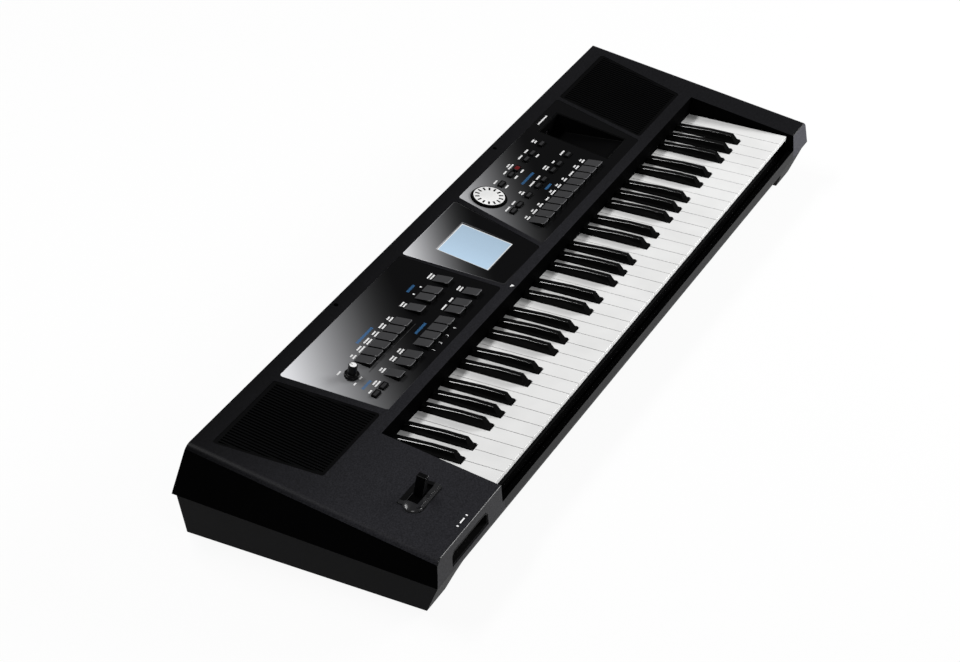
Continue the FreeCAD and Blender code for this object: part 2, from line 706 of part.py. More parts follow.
def bender():
    """A bezel with a pocket, and a sprung lever on a drum that swings left and right on an axle under it."""
    x, v = BENDER_BOUNDS
    wall = "@case_wall"
    margin = "(@bender_flange - @panel_clearance)"
    plate_x = grown(x, margin)
    plate_v = grown(v, margin)
    flange = block("bezel_flange", plate_x, plate_v, (PANEL_UNDER, "@panel_sink"))
    cup_low = "(-@bender_axle_drop - @bender_axle_radius - @rib_margin)"
    cup = block("bezel_cup", x, v, (cup_low, PANEL_UNDER))
    well_x = (f"({x[0]} + {wall})", f"({x[1]} - {wall})")
    well_v = (f"({v[0]} + {wall})", f"({v[1]} - {wall})")
    slope = "(@bender_width / 6)"
    start = (f"({well_x[0]} + {slope})", f"({well_x[1]} - {slope})", f"({well_v[0]} + {slope})",
             f"({well_v[1]} - {slope})")
    start = (start[0], start[1], f"(-({start[3]}))", f"(-({start[2]}))")
    end = (well_x[0], well_x[1], f"(-({well_v[1]}))", f"(-({well_v[0]}))")
    dish = taper("bezel_dish", start, end, ("(-@bender_deep)", RIM_TOP))
    place(dish, lean=TO_FRONT)
    drum_room_v = about(BENDER_V, "(@bender_drum_width + 2 * @fit_clearance)")
    drum_room = block("bezel_drum_room", well_x, drum_room_v, (f"({cup_low} - @overrun)", RIM_TOP))
    axle_z = "(-@bender_axle_drop)"
    axle_length = "(@bender_width - 2 * @fit_clearance)"
    axle_low = f"({v[0]} + @fit_clearance)"
    bore = rod("bezel_bore", "@bender_axle_radius + @running_clearance", "(@bender_width + 2 * @overrun)",
               BENDER_X, f"({v[0]} - @overrun)", axle_z, TO_BACK)
    blank = join("bezel_blank", [flange, cup, bezel_rim(plate_x, plate_v)])
    node("bender_bezel", on_panel(cut("bezel", blank, [dish, drum_room, bore])))
    axle = rod("axle", "@bender_axle_radius", axle_length, BENDER_X, axle_low, axle_z, TO_BACK)
    node("bender_axle", on_panel(axle))
    drum_v = about(BENDER_V, "@bender_drum_width")
    drum = rod("lever_drum", "@bender_drum_radius", "@bender_drum_width",
               BENDER_X, drum_v[0], axle_z, TO_BACK)
    keep_z = (axle_z, "@overrun")
    upper = block("lever_drum_upper", grown(x, "@overrun"), grown(drum_v, "@overrun"), keep_z)
    half = doc.addObject("Part::Common", "lever_half_drum")
    half.Base = drum
    half.Tool = upper
    hub = rod("lever_hub", "@bender_axle_radius + @rib_margin / 2", "@bender_drum_width",
              BENDER_X, drum_v[0], axle_z, TO_BACK)
    paddle_x = about("0", "@bender_lever_width")
    paddle_v = about("0", "@bender_lever_depth")
    narrow_x = about("0", "(@bender_lever_width * 2 / 3)")
    start = (paddle_x[0], paddle_x[1], paddle_v[0], paddle_v[1])
    end = (narrow_x[0], narrow_x[1], paddle_v[0], paddle_v[1])
    paddle = taper("lever_paddle", start, end, (axle_z, "@bender_lever_height"))
    place(paddle, BENDER_X, BENDER_V, lean=TO_FRONT)
    eye = rod("lever_eye", "@bender_axle_radius + @running_clearance", "(@bender_width + 2 * @overrun)",
              BENDER_X, f"({v[0]} - @overrun)", axle_z, TO_BACK)
    solid = join("lever_solid", [half, hub, paddle])
    node("bender_lever", on_panel(cut("lever", solid, [eye])))


# Keys


def key_block(name, x, y, low=KEY_BOTTOM, high="@key_top_height"):
    return block(name, x, y, (low, high))


def key_tail(name, stem_x):
    middle = f"(({stem_x[0]} + {stem_x[1]}) / 2)"
    tail_x = about(middle, "@key_tail_width")
    return key_block(name + "_tail", tail_x, (WAIST, TAIL_END), high="(@key_top_height - @key_tail_drop)")


def pivot_bore(name):
    return crosswise_rod(name, "@pivot_radius + @running_clearance", f"{KEYS_WIDTH} + 2 * @overrun",
                         f"({KEYS_LEFT} - @overrun)", PIVOT_Y, PIVOT_Z)


def inside(bounds):
    return (f"({bounds[0]} + @key_wall)", f"({bounds[1]} - @key_wall)")


def white_key(name, number, left_spread, right_spread):
    """A white key. A spread is how far the black key at that side stands off the line between white keys."""
    left = f"({KEYS_LEFT} + {number} * @key_pitch + @key_gap / 2)"
    right = f"({KEYS_LEFT} + {number + 1} * @key_pitch - @key_gap / 2)"
    stem_left = left
    stem_right = right
    if left_spread is not None:
        stem_left = f"({left} - @key_gap / 2 + {left_spread} + @sharp_width / 2 + @key_gap)"
    if right_spread is not None:
        stem_right = f"({right} + @key_gap / 2 + {right_spread} - @sharp_width / 2 - @key_gap)"
    head_y = (f"({KEY_FRONT} + @key_lip_overhang)", NOTCH)
    lip_low = "(@key_top_height - @key_lip_height)"
    lip = key_block(name + "_lip", (left, right), (KEY_FRONT, NOTCH), low=lip_low)
    head = key_block(name + "_head", (left, right), head_y)
    stem = key_block(name + "_stem", (stem_left, stem_right), (NOTCH, WAIST))
    tail = key_tail(name, (stem_left, stem_right))
    hollow_z = (f"({KEY_BOTTOM} - @overrun)", "(@key_top_height - @key_top_thickness)")
    head_hollow = block(name + "_head_hollow", inside((left, right)), inside(head_y), hollow_z)
    stem_y = (f"({NOTCH} + @key_wall)", f"({WAIST} - @key_wall)")
    stem_hollow = block(name + "_stem_hollow", inside((stem_left, stem_right)), stem_y, hollow_z)
    solid = join(name + "_solid", [lip, head, stem, tail])
    return cut(name, solid, [head_hollow, stem_hollow, pivot_bore(name + "_bore")])


def sharp_crown(name, middle):
    """What stands above the white keys: its front has a nib at its foot, and its top falls to the back."""
    base = about("0", "@sharp_width")
    top = about("0", "@sharp_top_width")
    nib_width = "(@sharp_width - (@sharp_width - @sharp_top_width) * @sharp_nib_height / @sharp_height)"
    nib_top = about("0", nib_width)
    slope_foot = f"(-({SHARP_FRONT}) - @sharp_nib_length)"
    slope_head = f"({slope_foot} - @sharp_front_slope)"
    rear = f"(-({KEY_BACK}))"
    body = taper(name + "_body", (*base, rear, slope_foot), (*top, rear, slope_head), ("0", "@sharp_height"))
    nib_y = (slope_head, f"(-({SHARP_FRONT}))")
    nib = taper(name + "_nib", (*base, *nib_y), (*nib_top, *nib_y), ("0", "@sharp_nib_height"))
    for item in (body, nib):
        place(item, middle, z="@key_top_height", lean=TO_FRONT)
    high = "(@key_top_height + @sharp_height)"
    above = f"({high} + @overrun)"
    fall_y = (f"({KEY_BACK} - @sharp_fall_length)", KEY_BACK)
    fall = taper(name + "_fall", (*base, high, above), (*base, f"({high} - @sharp_fall)", above), fall_y)
    place(fall, middle)
    return cut(name, join(name + "_whole", [body, nib]), [fall])


def black_key(name, boundary, spread):
    """A black key over the line between two white keys."""
    middle = f"({KEYS_LEFT} + {boundary} * @key_pitch + {spread})"
    base_x = about(middle, "@sharp_width")
    stem = key_block(name + "_stem", base_x, (SHARP_FRONT, WAIST))
    crown = sharp_crown(name + "_crown", middle)
    tail = key_tail(name, base_x)
    hollow_z = (f"({KEY_BOTTOM} - @overrun)", "(@key_top_height - @key_top_thickness)")
    stem_y = (f"({SHARP_FRONT} + @key_wall)", f"({WAIST} - @key_wall)")
    hollow = block(name + "_hollow", inside(base_x), stem_y, hollow_z)
    solid = join(name + "_solid", [stem, crown, tail])
    return cut(name, solid, [hollow, pivot_bore(name + "_bore")])


def spaced(master, octaves):
    """The same key in several octaves."""
    return [master.Shape.translated(FreeCAD.Vector(octave * value(OCTAVE), 0, 0)) for octave in octaves]


def keys():
    """Keys of one note share a node in every other octave, so neighbouring octaves move apart."""
    two = "@sharp_spread_of_two"
    three = "@sharp_spread_of_three"
    whites = [("c", 0, None, f"-{two}"), ("d", 1, f"-{two}", two), ("e", 2, two, None),
              ("f", 3, None, f"-{three}"), ("g", 4, f"-{three}", "0"), ("a", 5, "0", three),
              ("b", 6, three, None)]
    blacks = [("c_sharp", 1, f"-{two}"), ("d_sharp", 2, two), ("f_sharp", 4, f"-{three}"),
              ("g_sharp", 5, "0"), ("a_sharp", 6, three)]
    masters = {}
    for note, number, left, right in whites:
        masters[note] = white_key(f"{note}_master", number, left, right)
    for note, boundary, spread in blacks:
        masters[note] = black_key(f"{note}_master", boundary, spread)
    top = white_key("top_c_master", WHITE_KEYS - 1, None, None)
    doc.recompute()
    for note, master in masters.items():
        for word, first in (("odd", 0), ("even", 1)):
            shapes = spaced(master, range(first, OCTAVES, 2))
            if note == "c" and word == "even":
                shapes.append(top.Shape.copy())
            item = doc.addObject("Part::Feature", f"{note}_keys_{word}_octaves")
            item.Shape = Part.makeCompound(shapes)
            node(f"{note}_keys_{word}_octaves", item)


def key_bed():
    plate_z = (f"({CHASSIS_TOP} - @chassis_thickness)", CHASSIS_TOP)
    plate = block("chassis_plate", (CHASSIS_LEFT, CHASSIS_RIGHT), (CHASSIS_FRONT, CHASSIS_BACK), plate_z)
    rib_y = (f"({PIVOT_Y} - @pivot_radius - @rib_margin)", f"({PIVOT_Y} + @pivot_radius + @rib_margin)")
    rib_z = (CHASSIS_TOP, f"({PIVOT_Z} + @pivot_radius + @rib_margin / 2)")
    ribs = []
    for octave in range(OCTAVES):
        for boundary in RIB_BOUNDARIES:
            x = f"({KEYS_LEFT} + {octave * WHITES_IN_OCTAVE + boundary} * @key_pitch)"
            ribs.append(block(f"rib_{len(ribs)}", about(x, "@rib_thickness"), rib_y, rib_z))
    for x in (KEYS_LEFT, f"({KEYS_LEFT} + {KEYS_WIDTH})"):
        ribs.append(block(f"rib_{len(ribs)}", about(x, "@rib_thickness"), rib_y, rib_z))
    solid = join("chassis_solid", [plate] + ribs)
    node("key_chassis", cut("chassis", solid, [pivot_bore("chassis_bore")]))
    shaft = crosswise_rod("pivot_shaft", "@pivot_radius", f"{KEYS_WIDTH} + @rib_thickness",
                          f"({KEYS_LEFT} - @rib_thickness / 2)", PIVOT_Y, PIVOT_Z)
    node("key_pivot_rod", shaft)
    keys_x = (KEYS_LEFT, f"({KEYS_LEFT} + {KEYS_WIDTH})")
    felt_y = (FELT_FRONT, f"({FELT_FRONT} + @felt_width)")
    felt = block("felt", keys_x, felt_y, (CHASSIS_TOP, f"({CHASSIS_TOP} + @felt_thickness)"))
    node("key_stop_felt", felt)
    board_y = (f"({KEY_BACK} - @contact_board_width)", KEY_BACK)
    board = block("contacts", keys_x, board_y, (CHASSIS_TOP, f"({CHASSIS_TOP} + @board_thickness)"))
    node("key_contact_board", board)


# Case


def seam_form(name, inset, low, high, low_insets, high_insets):
    """A form between two levels off the sloping seam. Insets are end, back and front."""
    def bounds(insets):
        end, rear, front = insets
        return (f"-{HALF_WIDTH} + ({inset}) + {end}", f"{HALF_WIDTH} - ({inset}) - {end}",
                f"-{SEAM_HALF} + ({inset}) + {rear}", f"{SEAM_HALF} - ({inset}) - {front}")
    item = taper(name, bounds(low_insets), bounds(high_insets), (low, high))
    return place(item, z=SEAM_Z, lean=f"{TO_FRONT} + @seam_tilt")


def above_panel(name, level):
    x = (f"(-{CASE_WIDTH})", CASE_WIDTH)
    return on_panel(block(name, x, (f"(-{CASE_DEPTH})", CASE_DEPTH), (level, HIGH)))


def panel_block(name, x, v, z):
    return on_panel(block(name, x, v, z))


def upper_insets(share):
    return tuple(f"{flare} * {share}" for flare in (END_FLARE_SHARE, BACK_FLARE_SHARE, FRONT_FLARE_SHARE))


def top_end_edge(edge):
    """The two long edges where the sloping top meets the end walls."""
    ends = [vertex.Point for vertex in edge.Vertexes]
    run = ends[-1] - ends[0]
    middle = (ends[0] + ends[-1]) * 0.5
    panel_level = value(PANEL_Z) + middle.y * value("tan(@panel_tilt)")
    lengthwise = abs(run.y) > abs(run.x) + abs(run.z)
    return lengthwise and middle.z > panel_level - value("@case_wall")


def screw_places():
    """Each screw's place across and along, and the floor that its boss stands on."""
    found = []
    for share_x, share_y in BACK_BOSS_SHARES:
        found.append((across(share_x), f"({share_y} * {CASE_DEPTH})", "@floor_height"))
    for share_x, share_y in BASS_BOSS_SHARES:
        found.append((on_bass_block(share_x), f"({share_y} * {CASE_DEPTH})", "@floor_height"))
    for share_x, share_y in TREBLE_BOSS_SHARES:
        x = f"({HALF_WIDTH} - {share_x} * @treble_block_width)"
        found.append((x, f"({share_y} * {CASE_DEPTH})", RUNNER_FLOOR))
    return found


FRONT_SOCKET_MIDDLE = on_bass_block(FRONT_SOCKET_SHARE)
FRONT_SOCKET_X = about(FRONT_SOCKET_MIDDLE, "@front_socket_width")
FRONT_SOCKET_Z = (f"({SEAM_FRONT} + @front_socket_rise)",
                  f"({SEAM_FRONT} + @front_socket_rise + @front_socket_height)")
REAR_SOCKET_Z = f"({SEAM_Z} + {CASE_DEPTH} / 2 * tan(@seam_tilt) + @rear_socket_rise)"


def front_socket_form(name, inset, front, rear):
    """The outline of the front socket recess, whose upper corners are cut off, drawn in by a margin."""
    left = f"({FRONT_SOCKET_X[0]} + {inset})"
    right = f"({FRONT_SOCKET_X[1]} - {inset})"
    shoulder = f"({FRONT_SOCKET_Z[1]} - @front_socket_chamfer)"
    low = f"({FRONT_SOCKET_Z[0]} + {inset})"
    body = block(name + "_body", (left, right), (front, rear), (low, shoulder))
    start = (left, right, f"(-{rear})", f"(-{front})")
    end = (f"({left} + @front_socket_chamfer)", f"({right} - @front_socket_chamfer)", start[2], start[3])
    crown = taper(name + "_crown", start, end, (shoulder, f"({FRONT_SOCKET_Z[1]} - {inset})"))
    return join(name, [body, place(crown, lean=TO_FRONT)])


def rear_socket_x(number):
    return f"({across(REAR_SOCKET_SHARE)} + {number} * @rear_socket_spacing)"


REAR_SOCKETS = 3


def upper_case():
    none = ("0", "0", "0")
    outer = seam_form("upper_outer", "0", "0", RISE, none, upper_insets(RISE))
    trimmed = cut("upper_form", outer, [above_panel("upper_trim", "0")])
    form = rounded(trimmed, "@top_edge_radius", top_end_edge)
    inner = seam_form("upper_inner", "@case_wall", "(-@overrun)", RISE, none, upper_insets(RISE))
    wall_z = ("0", HIGH)
    left_wall = block("well_left_wall", (f"({WELL_LEFT} - @case_wall)", WELL_LEFT),
                      (f"({CASE_FRONT} - @overrun)", f"({WELL_BACK} + @case_wall)"), wall_z)
    right_wall = block("well_right_wall", (WELL_RIGHT, f"({WELL_RIGHT} + @case_wall)"),
                       (f"({CASE_FRONT} - @overrun)", f"({WELL_BACK} + @case_wall)"), wall_z)
    fall_x = (f"({WELL_LEFT} - @case_wall)", f"({WELL_RIGHT} + @case_wall)")
    fall = block("fallboard", fall_x, (WELL_BACK, f"({WELL_BACK} + @case_wall)"),
                 ("(@key_top_height + @fallboard_gap)", HIGH))
    rail = block("rail_top", fall_x, (f"({CASE_FRONT} - @overrun)", f"({CASE_FRONT} + @rail_depth)"),
                 (f"({RAIL_TOP} - @case_wall)", RAIL_TOP))
    rest_v = f"(({CASE_BACK} - @rest_socket_inset) / cos(@panel_tilt))"
    rest_low = "(-@rest_socket_depth - @rest_socket_wall)"
    rest_bosses = []
    rest_holes = []
    for side in (-1, 1):
        x = across(side * REST_SOCKET_SHARE)
        boss = rod(f"rest_boss_{side + 1}", "@rest_socket_radius + @rest_socket_wall",
                   "@rest_socket_depth + @overrun", x, rest_v, rest_low)
        rest_bosses.append(on_panel(boss))
        hole = rod(f"rest_hole_{side + 1}", "@rest_socket_radius",
                   "@rest_socket_depth + @overrun", x, rest_v, "(-@rest_socket_depth)")
        rest_holes.append(on_panel(hole))
    top = above_panel("upper_inner_trim", "(-@top_thickness)")
    cavity = cut("upper_cavity", inner, [top, left_wall, right_wall, fall, rail] + rest_bosses)
    well_y = (f"({CASE_FRONT} - @overrun)", WELL_BACK)
    well = block("key_well", (WELL_LEFT, WELL_RIGHT), well_y, (RAIL_TOP, HIGH))
    cuts = [cavity, well] + rest_holes
    seat = f"({PANEL_UNDER})"
    for insert in TRAY_SHARES:
        pocket = on_panel(tray(insert + "_seat", insert, "0", seat, "@overrun"))
        cuts.append(rounded(pocket, "@panel_corner_radius", upright))
        if insert.endswith("panel"):
            window = tray(insert + "_window", insert, "@panel_ledge", "(-@top_thickness - @overrun)", "0")
            cuts.append(on_panel(window))
    for side in (-1, 1):
        x = across(side * SPEAKER_SHARES[0])
        v = back(SPEAKER_SHARES[1])
        low = "(-@top_thickness - @overrun)"
        mouth = rod(f"speaker_mouth_{side + 1}", "@speaker_radius - @cone_thickness",
                    "@top_thickness + @overrun", x, v, low)
        cuts.append(on_panel(mouth))
    x, v = BENDER_BOUNDS
    cuts.append(panel_block("bender_seat", grown(x, "@bender_flange"), grown(v, "@bender_flange"),
                            (seat, "@overrun")))
    cuts.append(panel_block("bender_hole", grown(x, "@fit_clearance"), grown(v, "@fit_clearance"),
                            ("(-@top_thickness - @overrun)", "0")))
    cuts.append(front_socket_form("front_socket_hole", "(-@fit_clearance)", f"({CASE_FRONT} - @overrun)",
                                  f"({CASE_FRONT} + @front_socket_depth)"))
    for number in range(REAR_SOCKETS):
        cuts.append(rod(f"rear_socket_hole_{number}", "@rear_socket_radius + @fit_clearance",
                        "@rear_socket_length + @overrun", rear_socket_x(number),
                        f"({CASE_BACK} - @rear_socket_length)", REAR_SOCKET_Z, TO_BACK))
    shell = cut("upper_shell", form, cuts)
    bosses = []
    pilots = []
    for number, (x, y, floor) in enumerate(screw_places()):
        bosses.append(rod(f"boss_{number}", "@boss_radius", HIGH, x, y, floor))
        pilots.append(rod(f"pilot_{number}", "@screw_radius", "@screw_length", x, y, floor))
    boss_trim = above_panel("boss_trim", "(-@top_thickness / 2)")
    trimmed = cut("boss_columns", join("boss_blanks", bosses), [boss_trim])
    joined = join("upper_joined", [shell, trimmed])
    node("upper_case", cut("upper_case_solid", joined, pilots))


def lower_insets(share):
    return tuple(f"{slope} * {share}" for slope in (LOWER_END_SHARE, LOWER_BACK_SHARE, LOWER_FRONT_SHARE))


CHANNEL_HALF = f"({HALF_WIDTH} - {LOWER_END_SHARE} * {SEAM_Z} - @runner_width)"


def front_relief(name, margin):
    """The space under the front, between the runners, where the wall slopes back to the floor."""
    low = "(@floor_height - @case_wall)"
    wall_run = f"({LOWER_FRONT_SHARE} * ({SEAM_FRONT} - {low}))"
    front = f"({CASE_FRONT} + {wall_run})"
    half = f"({CHANNEL_HALF} - @runner_slope + {margin})"
    top_half = f"({half} - @front_relief_height)"
    start = (f"(-{half})", half, f"(-{front} - @front_relief_depth - {margin})", CASE_DEPTH)
    end = (f"(-{top_half})", top_half, f"(-{front} - {margin})", CASE_DEPTH)
    space = taper(name, start, end, (low, f"({low} + @front_relief_height + {margin})"))
    return place(space, lean=TO_FRONT)


def lower_case():
    none = ("0", "0", "0")
    outer = seam_form("lower_outer", "@lip_step", f"(-{DROP})", "0", lower_insets(DROP), none)
    wide_x = (f"(-{CASE_WIDTH})", CASE_WIDTH)
    wide_y = (f"(-{CASE_DEPTH})", CASE_DEPTH)
    ground = block("lower_trim", wide_x, wide_y, (f"(-{DROP})", "@foot_height"))
    roof = "(@floor_height - @case_wall)"
    roof_half = f"({CHANNEL_HALF} - @runner_slope)"
    start = (f"(-{CHANNEL_HALF})", CHANNEL_HALF, wide_y[0], wide_y[1])
    end = (f"(-{roof_half})", roof_half, wide_y[0], wide_y[1])
    channel = taper("channel", start, end, ("@foot_height", roof))
    place(channel, lean=TO_FRONT)
    inner = seam_form("lower_inner", "@lip_step + @case_wall", f"(-{DROP})", "@overrun",
                      lower_insets(DROP), none)
    floor_x = (f"(-{CHANNEL_HALF} - @case_wall)", f"({CHANNEL_HALF} + @case_wall)")
    floor = block("floor", floor_x, wide_y, (f"(-{DROP})", "@floor_height"))
    runner_floor = block("runner_floor", wide_x, wide_y, (f"(-{DROP})", RUNNER_FLOOR))
    cavity = cut("lower_cavity", inner, [floor, runner_floor, front_relief("relief_inside", "@case_wall")])
    shell = cut("lower_shell", outer, [ground, channel, front_relief("relief", "0"), cavity])
    posts = []
    for number, (share_x, share_y) in enumerate(POST_SHARES):
        posts.append(rod(f"chassis_post_{number}", "@post_radius",
                         f"{CHASSIS_TOP} - @chassis_thickness - @floor_height + @case_wall / 2",
                         across(share_x), f"({share_y} * {CASE_DEPTH})", "(@floor_height - @case_wall / 2)"))
    half, front, rear = MAIN_BOARD_SHARES
    corners = [(-half, front), (half, front), (-half, rear), (half, rear)]
    for number, (share_x, share_y) in enumerate(corners):
        inset_x = "@post_radius" if share_x < 0 else "(-@post_radius)"
        inset_y = "@post_radius" if share_y == front else "(-@post_radius)"
        posts.append(rod(f"board_post_{number}", "@post_radius", "@board_post_height + @case_wall / 2",
                         f"({across(share_x)} + {inset_x})", f"({share_y} * {CASE_BACK} + {inset_y})",
                         "(@floor_height - @case_wall / 2)"))
    joined = join("lower_joined", [shell] + posts)
    holes = []
    for number, (x, y, floor_level) in enumerate(screw_places()):
        under = f"({floor_level} - @case_wall)"
        holes.append(rod(f"screw_hole_{number}", "@screw_radius + @fit_clearance", "2 * @case_wall",
                         x, y, under))
        holes.append(rod(f"screw_seat_{number}", "@screw_head_radius + @fit_clearance",
                         "@screw_head_height + @overrun - @fit_clearance", x, y, f"({under} - @overrun)"))
    node("lower_case", cut("lower_case_solid", joined, holes))
    board_low = "(@floor_height + @board_post_height)"
    board_z = (board_low, f"({board_low} + @board_thickness)")
    board_x = (across(-half), across(half))
    board_y = (f"({front} * {CASE_BACK})", f"({rear} * {CASE_BACK})")
    node("main_board", block("circuit_board", board_x, board_y, board_z))


def case_screws():
    screws = []
    for number, (x, y, floor) in enumerate(screw_places()):
        head_low = f"({floor} - @case_wall)"
        head = rod(f"screw_head_{number}", "@screw_head_radius", "@screw_head_height - @fit_clearance",
                   x, y, head_low)
        shank = rod(f"screw_shank_{number}", "@screw_radius - @running_clearance",
                    "@screw_length - @overrun / 2 + @case_wall", x, y, head_low)
        screws.append(join(f"screw_{number}", [head, shank]))
    group("case_screws", screws)


def rubber_feet():
    feet = []
    middle = f"({CHANNEL_HALF} + @runner_width / 2)"
    for side in (-1, 1):
        for share in (-FOOT_SHARE, FOOT_SHARE):
            feet.append(rod(f"foot_{len(feet)}", "@foot_radius", "@foot_height", f"({side} * {middle})",
                            f"({share} * {CASE_DEPTH})", "0"))
    group("rubber_feet", feet)


def front_sockets():
    """A tray set into the front of the bass block, with two jack sockets in its back wall."""
    wall = "@front_socket_wall"
    front = f"({CASE_FRONT} + @case_wall / 2)"
    rear = f"({CASE_FRONT} + @front_socket_depth)"
    shell = front_socket_form("socket_tray", "0", front, rear)
    hollow = front_socket_form("socket_tray_hollow", wall, f"({CASE_FRONT} - @overrun)", f"({rear} - {wall})")
    tray_shell = cut("socket_tray_shell", shell, [hollow])
    barrels = []
    bores = []
    z = f"(({FRONT_SOCKET_Z[0]} + {FRONT_SOCKET_Z[1]}) / 2)"
    for number in (-1, 1):
        x = f"({FRONT_SOCKET_MIDDLE} + {number} * @front_socket_spacing / 2)"
        nut_y = f"({rear} - 2 * {wall})"
        name = f"jack_{number + 1}"
        barrel_length = f"@jack_length + 2 * {wall}"
        barrels.append(rod(name, "@jack_nut_radius", barrel_length, x, nut_y, z, TO_BACK))
        bores.append(rod(name + "_bore", "@jack_radius", "@jack_length", x, nut_y, z, TO_BACK))
    solid = join("front_socket_solid", [tray_shell] + barrels)
    node("headphone_sockets", cut("front_socket_unit", solid, bores))


def rear_sockets():
    units = []
    for number in range(REAR_SOCKETS):
        x = rear_socket_x(number)
        slope = f"({BACK_FLARE_SHARE} * (@rear_socket_rise + @rear_socket_radius))"
        inner = f"({CASE_BACK} - {slope} - @rear_socket_length)"
        nose = rod(f"rear_nose_{number}", "@rear_socket_radius", "@rear_socket_length",
                   x, inner, REAR_SOCKET_Z, TO_BACK)
        bore = rod(f"rear_bore_{number}", "@jack_radius", "@rear_socket_length",
                   x, f"({inner} + @case_wall)", REAR_SOCKET_Z, TO_BACK)
        units.append(cut(f"rear_socket_{number}", nose, [bore]))
    group("rear_sockets", units)


def check():
    """Stops if any object failed, or any sub-part has no valid shape."""
    for item in doc.Objects:
        if "Invalid" in item.State or "Error" in item.State:
            raise RuntimeError(f"{item.Label} failed: {item.State}")
    for item in NODES:
        if item.Shape.isNull() or not item.Shape.isValid() or not item.Shape.Solids:
            raise RuntimeError(f"{item.Label} has no valid solid")


upper_case()
lower_case()
control_panels()
speaker_grille("left_speaker_grille")
speaker_grille("right_speaker_grille")
speakers()
display_module()
buttons()
panel_boards()
knob_and_dial()
stick_pocket()
bender()
keys()
key_bed()
case_screws()
rubber_feet()
front_sockets()
rear_sockets()
doc.recompute()
check()

os.makedirs("parts", exist_ok=True)
for item in NODES:
    item.Shape.exportStep(os.path.join("parts", item.Label + ".step"))
    print(item.Label, len(item.Shape.Solids), round(item.Shape.Volume / 1000, 1))
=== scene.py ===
import json
import math

import bpy
from bpy.props import FloatProperty, FloatVectorProperty, IntProperty, PointerProperty
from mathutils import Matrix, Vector


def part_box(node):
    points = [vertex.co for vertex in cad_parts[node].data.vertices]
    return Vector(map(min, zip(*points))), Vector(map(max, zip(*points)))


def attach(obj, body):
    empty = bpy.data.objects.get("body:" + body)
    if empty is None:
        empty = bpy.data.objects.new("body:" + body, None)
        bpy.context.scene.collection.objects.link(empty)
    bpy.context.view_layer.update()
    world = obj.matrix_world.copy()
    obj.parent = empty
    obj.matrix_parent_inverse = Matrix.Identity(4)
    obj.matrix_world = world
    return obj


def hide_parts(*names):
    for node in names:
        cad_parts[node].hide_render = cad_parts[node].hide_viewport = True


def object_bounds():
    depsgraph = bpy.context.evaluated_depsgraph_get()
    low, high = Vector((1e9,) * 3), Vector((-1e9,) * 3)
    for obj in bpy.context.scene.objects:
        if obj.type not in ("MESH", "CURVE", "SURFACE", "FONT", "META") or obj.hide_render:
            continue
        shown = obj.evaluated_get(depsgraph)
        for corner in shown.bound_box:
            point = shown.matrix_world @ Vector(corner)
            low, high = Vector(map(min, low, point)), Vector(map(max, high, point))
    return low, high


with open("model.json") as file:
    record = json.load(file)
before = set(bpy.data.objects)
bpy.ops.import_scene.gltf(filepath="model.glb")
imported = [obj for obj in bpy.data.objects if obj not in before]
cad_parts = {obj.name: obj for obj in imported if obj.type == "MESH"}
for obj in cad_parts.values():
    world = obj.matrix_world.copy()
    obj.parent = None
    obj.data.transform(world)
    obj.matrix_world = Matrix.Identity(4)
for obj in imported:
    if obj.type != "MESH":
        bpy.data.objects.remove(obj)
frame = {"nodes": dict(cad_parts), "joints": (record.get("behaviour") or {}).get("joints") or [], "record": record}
CAD_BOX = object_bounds()

bl_info = {
    "name": "Arranger Keyboard",
    "version": (1, 0, 0),
    "blender": (4, 5, 0),
    "location": "3D View > Sidebar > Keyboard",
    "description": "Dresses the frame of an arranger keyboard with its finished pieces",
    "category": "Object",
}

MM = 0.001
NODES = frame["nodes"]
JOINTS = {joint["name"]: joint for joint in frame["joints"]}
SLOTS = {part["node"]: part["material_slot"] for part in frame["record"]["subparts"]}
BODIES = {name: body for body, names in frame["record"]["behaviour"]["bodies"].items() for name in names}

# The sloping top: a point on it, its normal and the way up it, away from the player.
TOP_POINT = Vector(JOINTS["volume_turn"]["pos_m"])
TOP_NORMAL = Vector(JOINTS["volume_turn"]["axis"]).normalized()
UP_SLOPE = TOP_NORMAL.cross(Vector((1, 0, 0)))
TILT = math.atan2(UP_SLOPE.z, UP_SLOPE.y)
LYING = (TILT, 0, 0)
TOP_HEIGHT = 0.0
PANEL_FACE = -0.3 * MM
INK = 0.02 * MM
FALLBOARD_Y = -9.0 * MM

# Least cosines of what points roughly or squarely in a direction.
FACING, SQUARE = 0.9, 0.99
# In a copy of a node, the distance of points that are welded and the angle of faces that are joined.
WELD, FLATNESS = 0.002 * MM, math.radians(0.6)

WHITE_KEYS = sorted(name for name, slot in SLOTS.items() if slot == "white_key")
BLACK_KEYS = sorted(name for name, slot in SLOTS.items() if slot == "black_key")
WEDGE_BUTTONS = sorted(name for name, slot in SLOTS.items() if slot == "wedge_button")
SMALL_BUTTONS = sorted(name for name, slot in SLOTS.items() if slot == "small_button")


def length(label, text, millimetres):
    return FloatProperty(name=label, description=text, default=millimetres * MM, min=0.0, unit="LENGTH")


def amount(label, text, value, least=0.0):
    return FloatProperty(name=label, description=text, default=value, min=least)


def tint(label, text, *channels):
    return FloatVectorProperty(
        name=label, description=text, subtype="COLOR", size=3, default=channels, min=0, max=1)


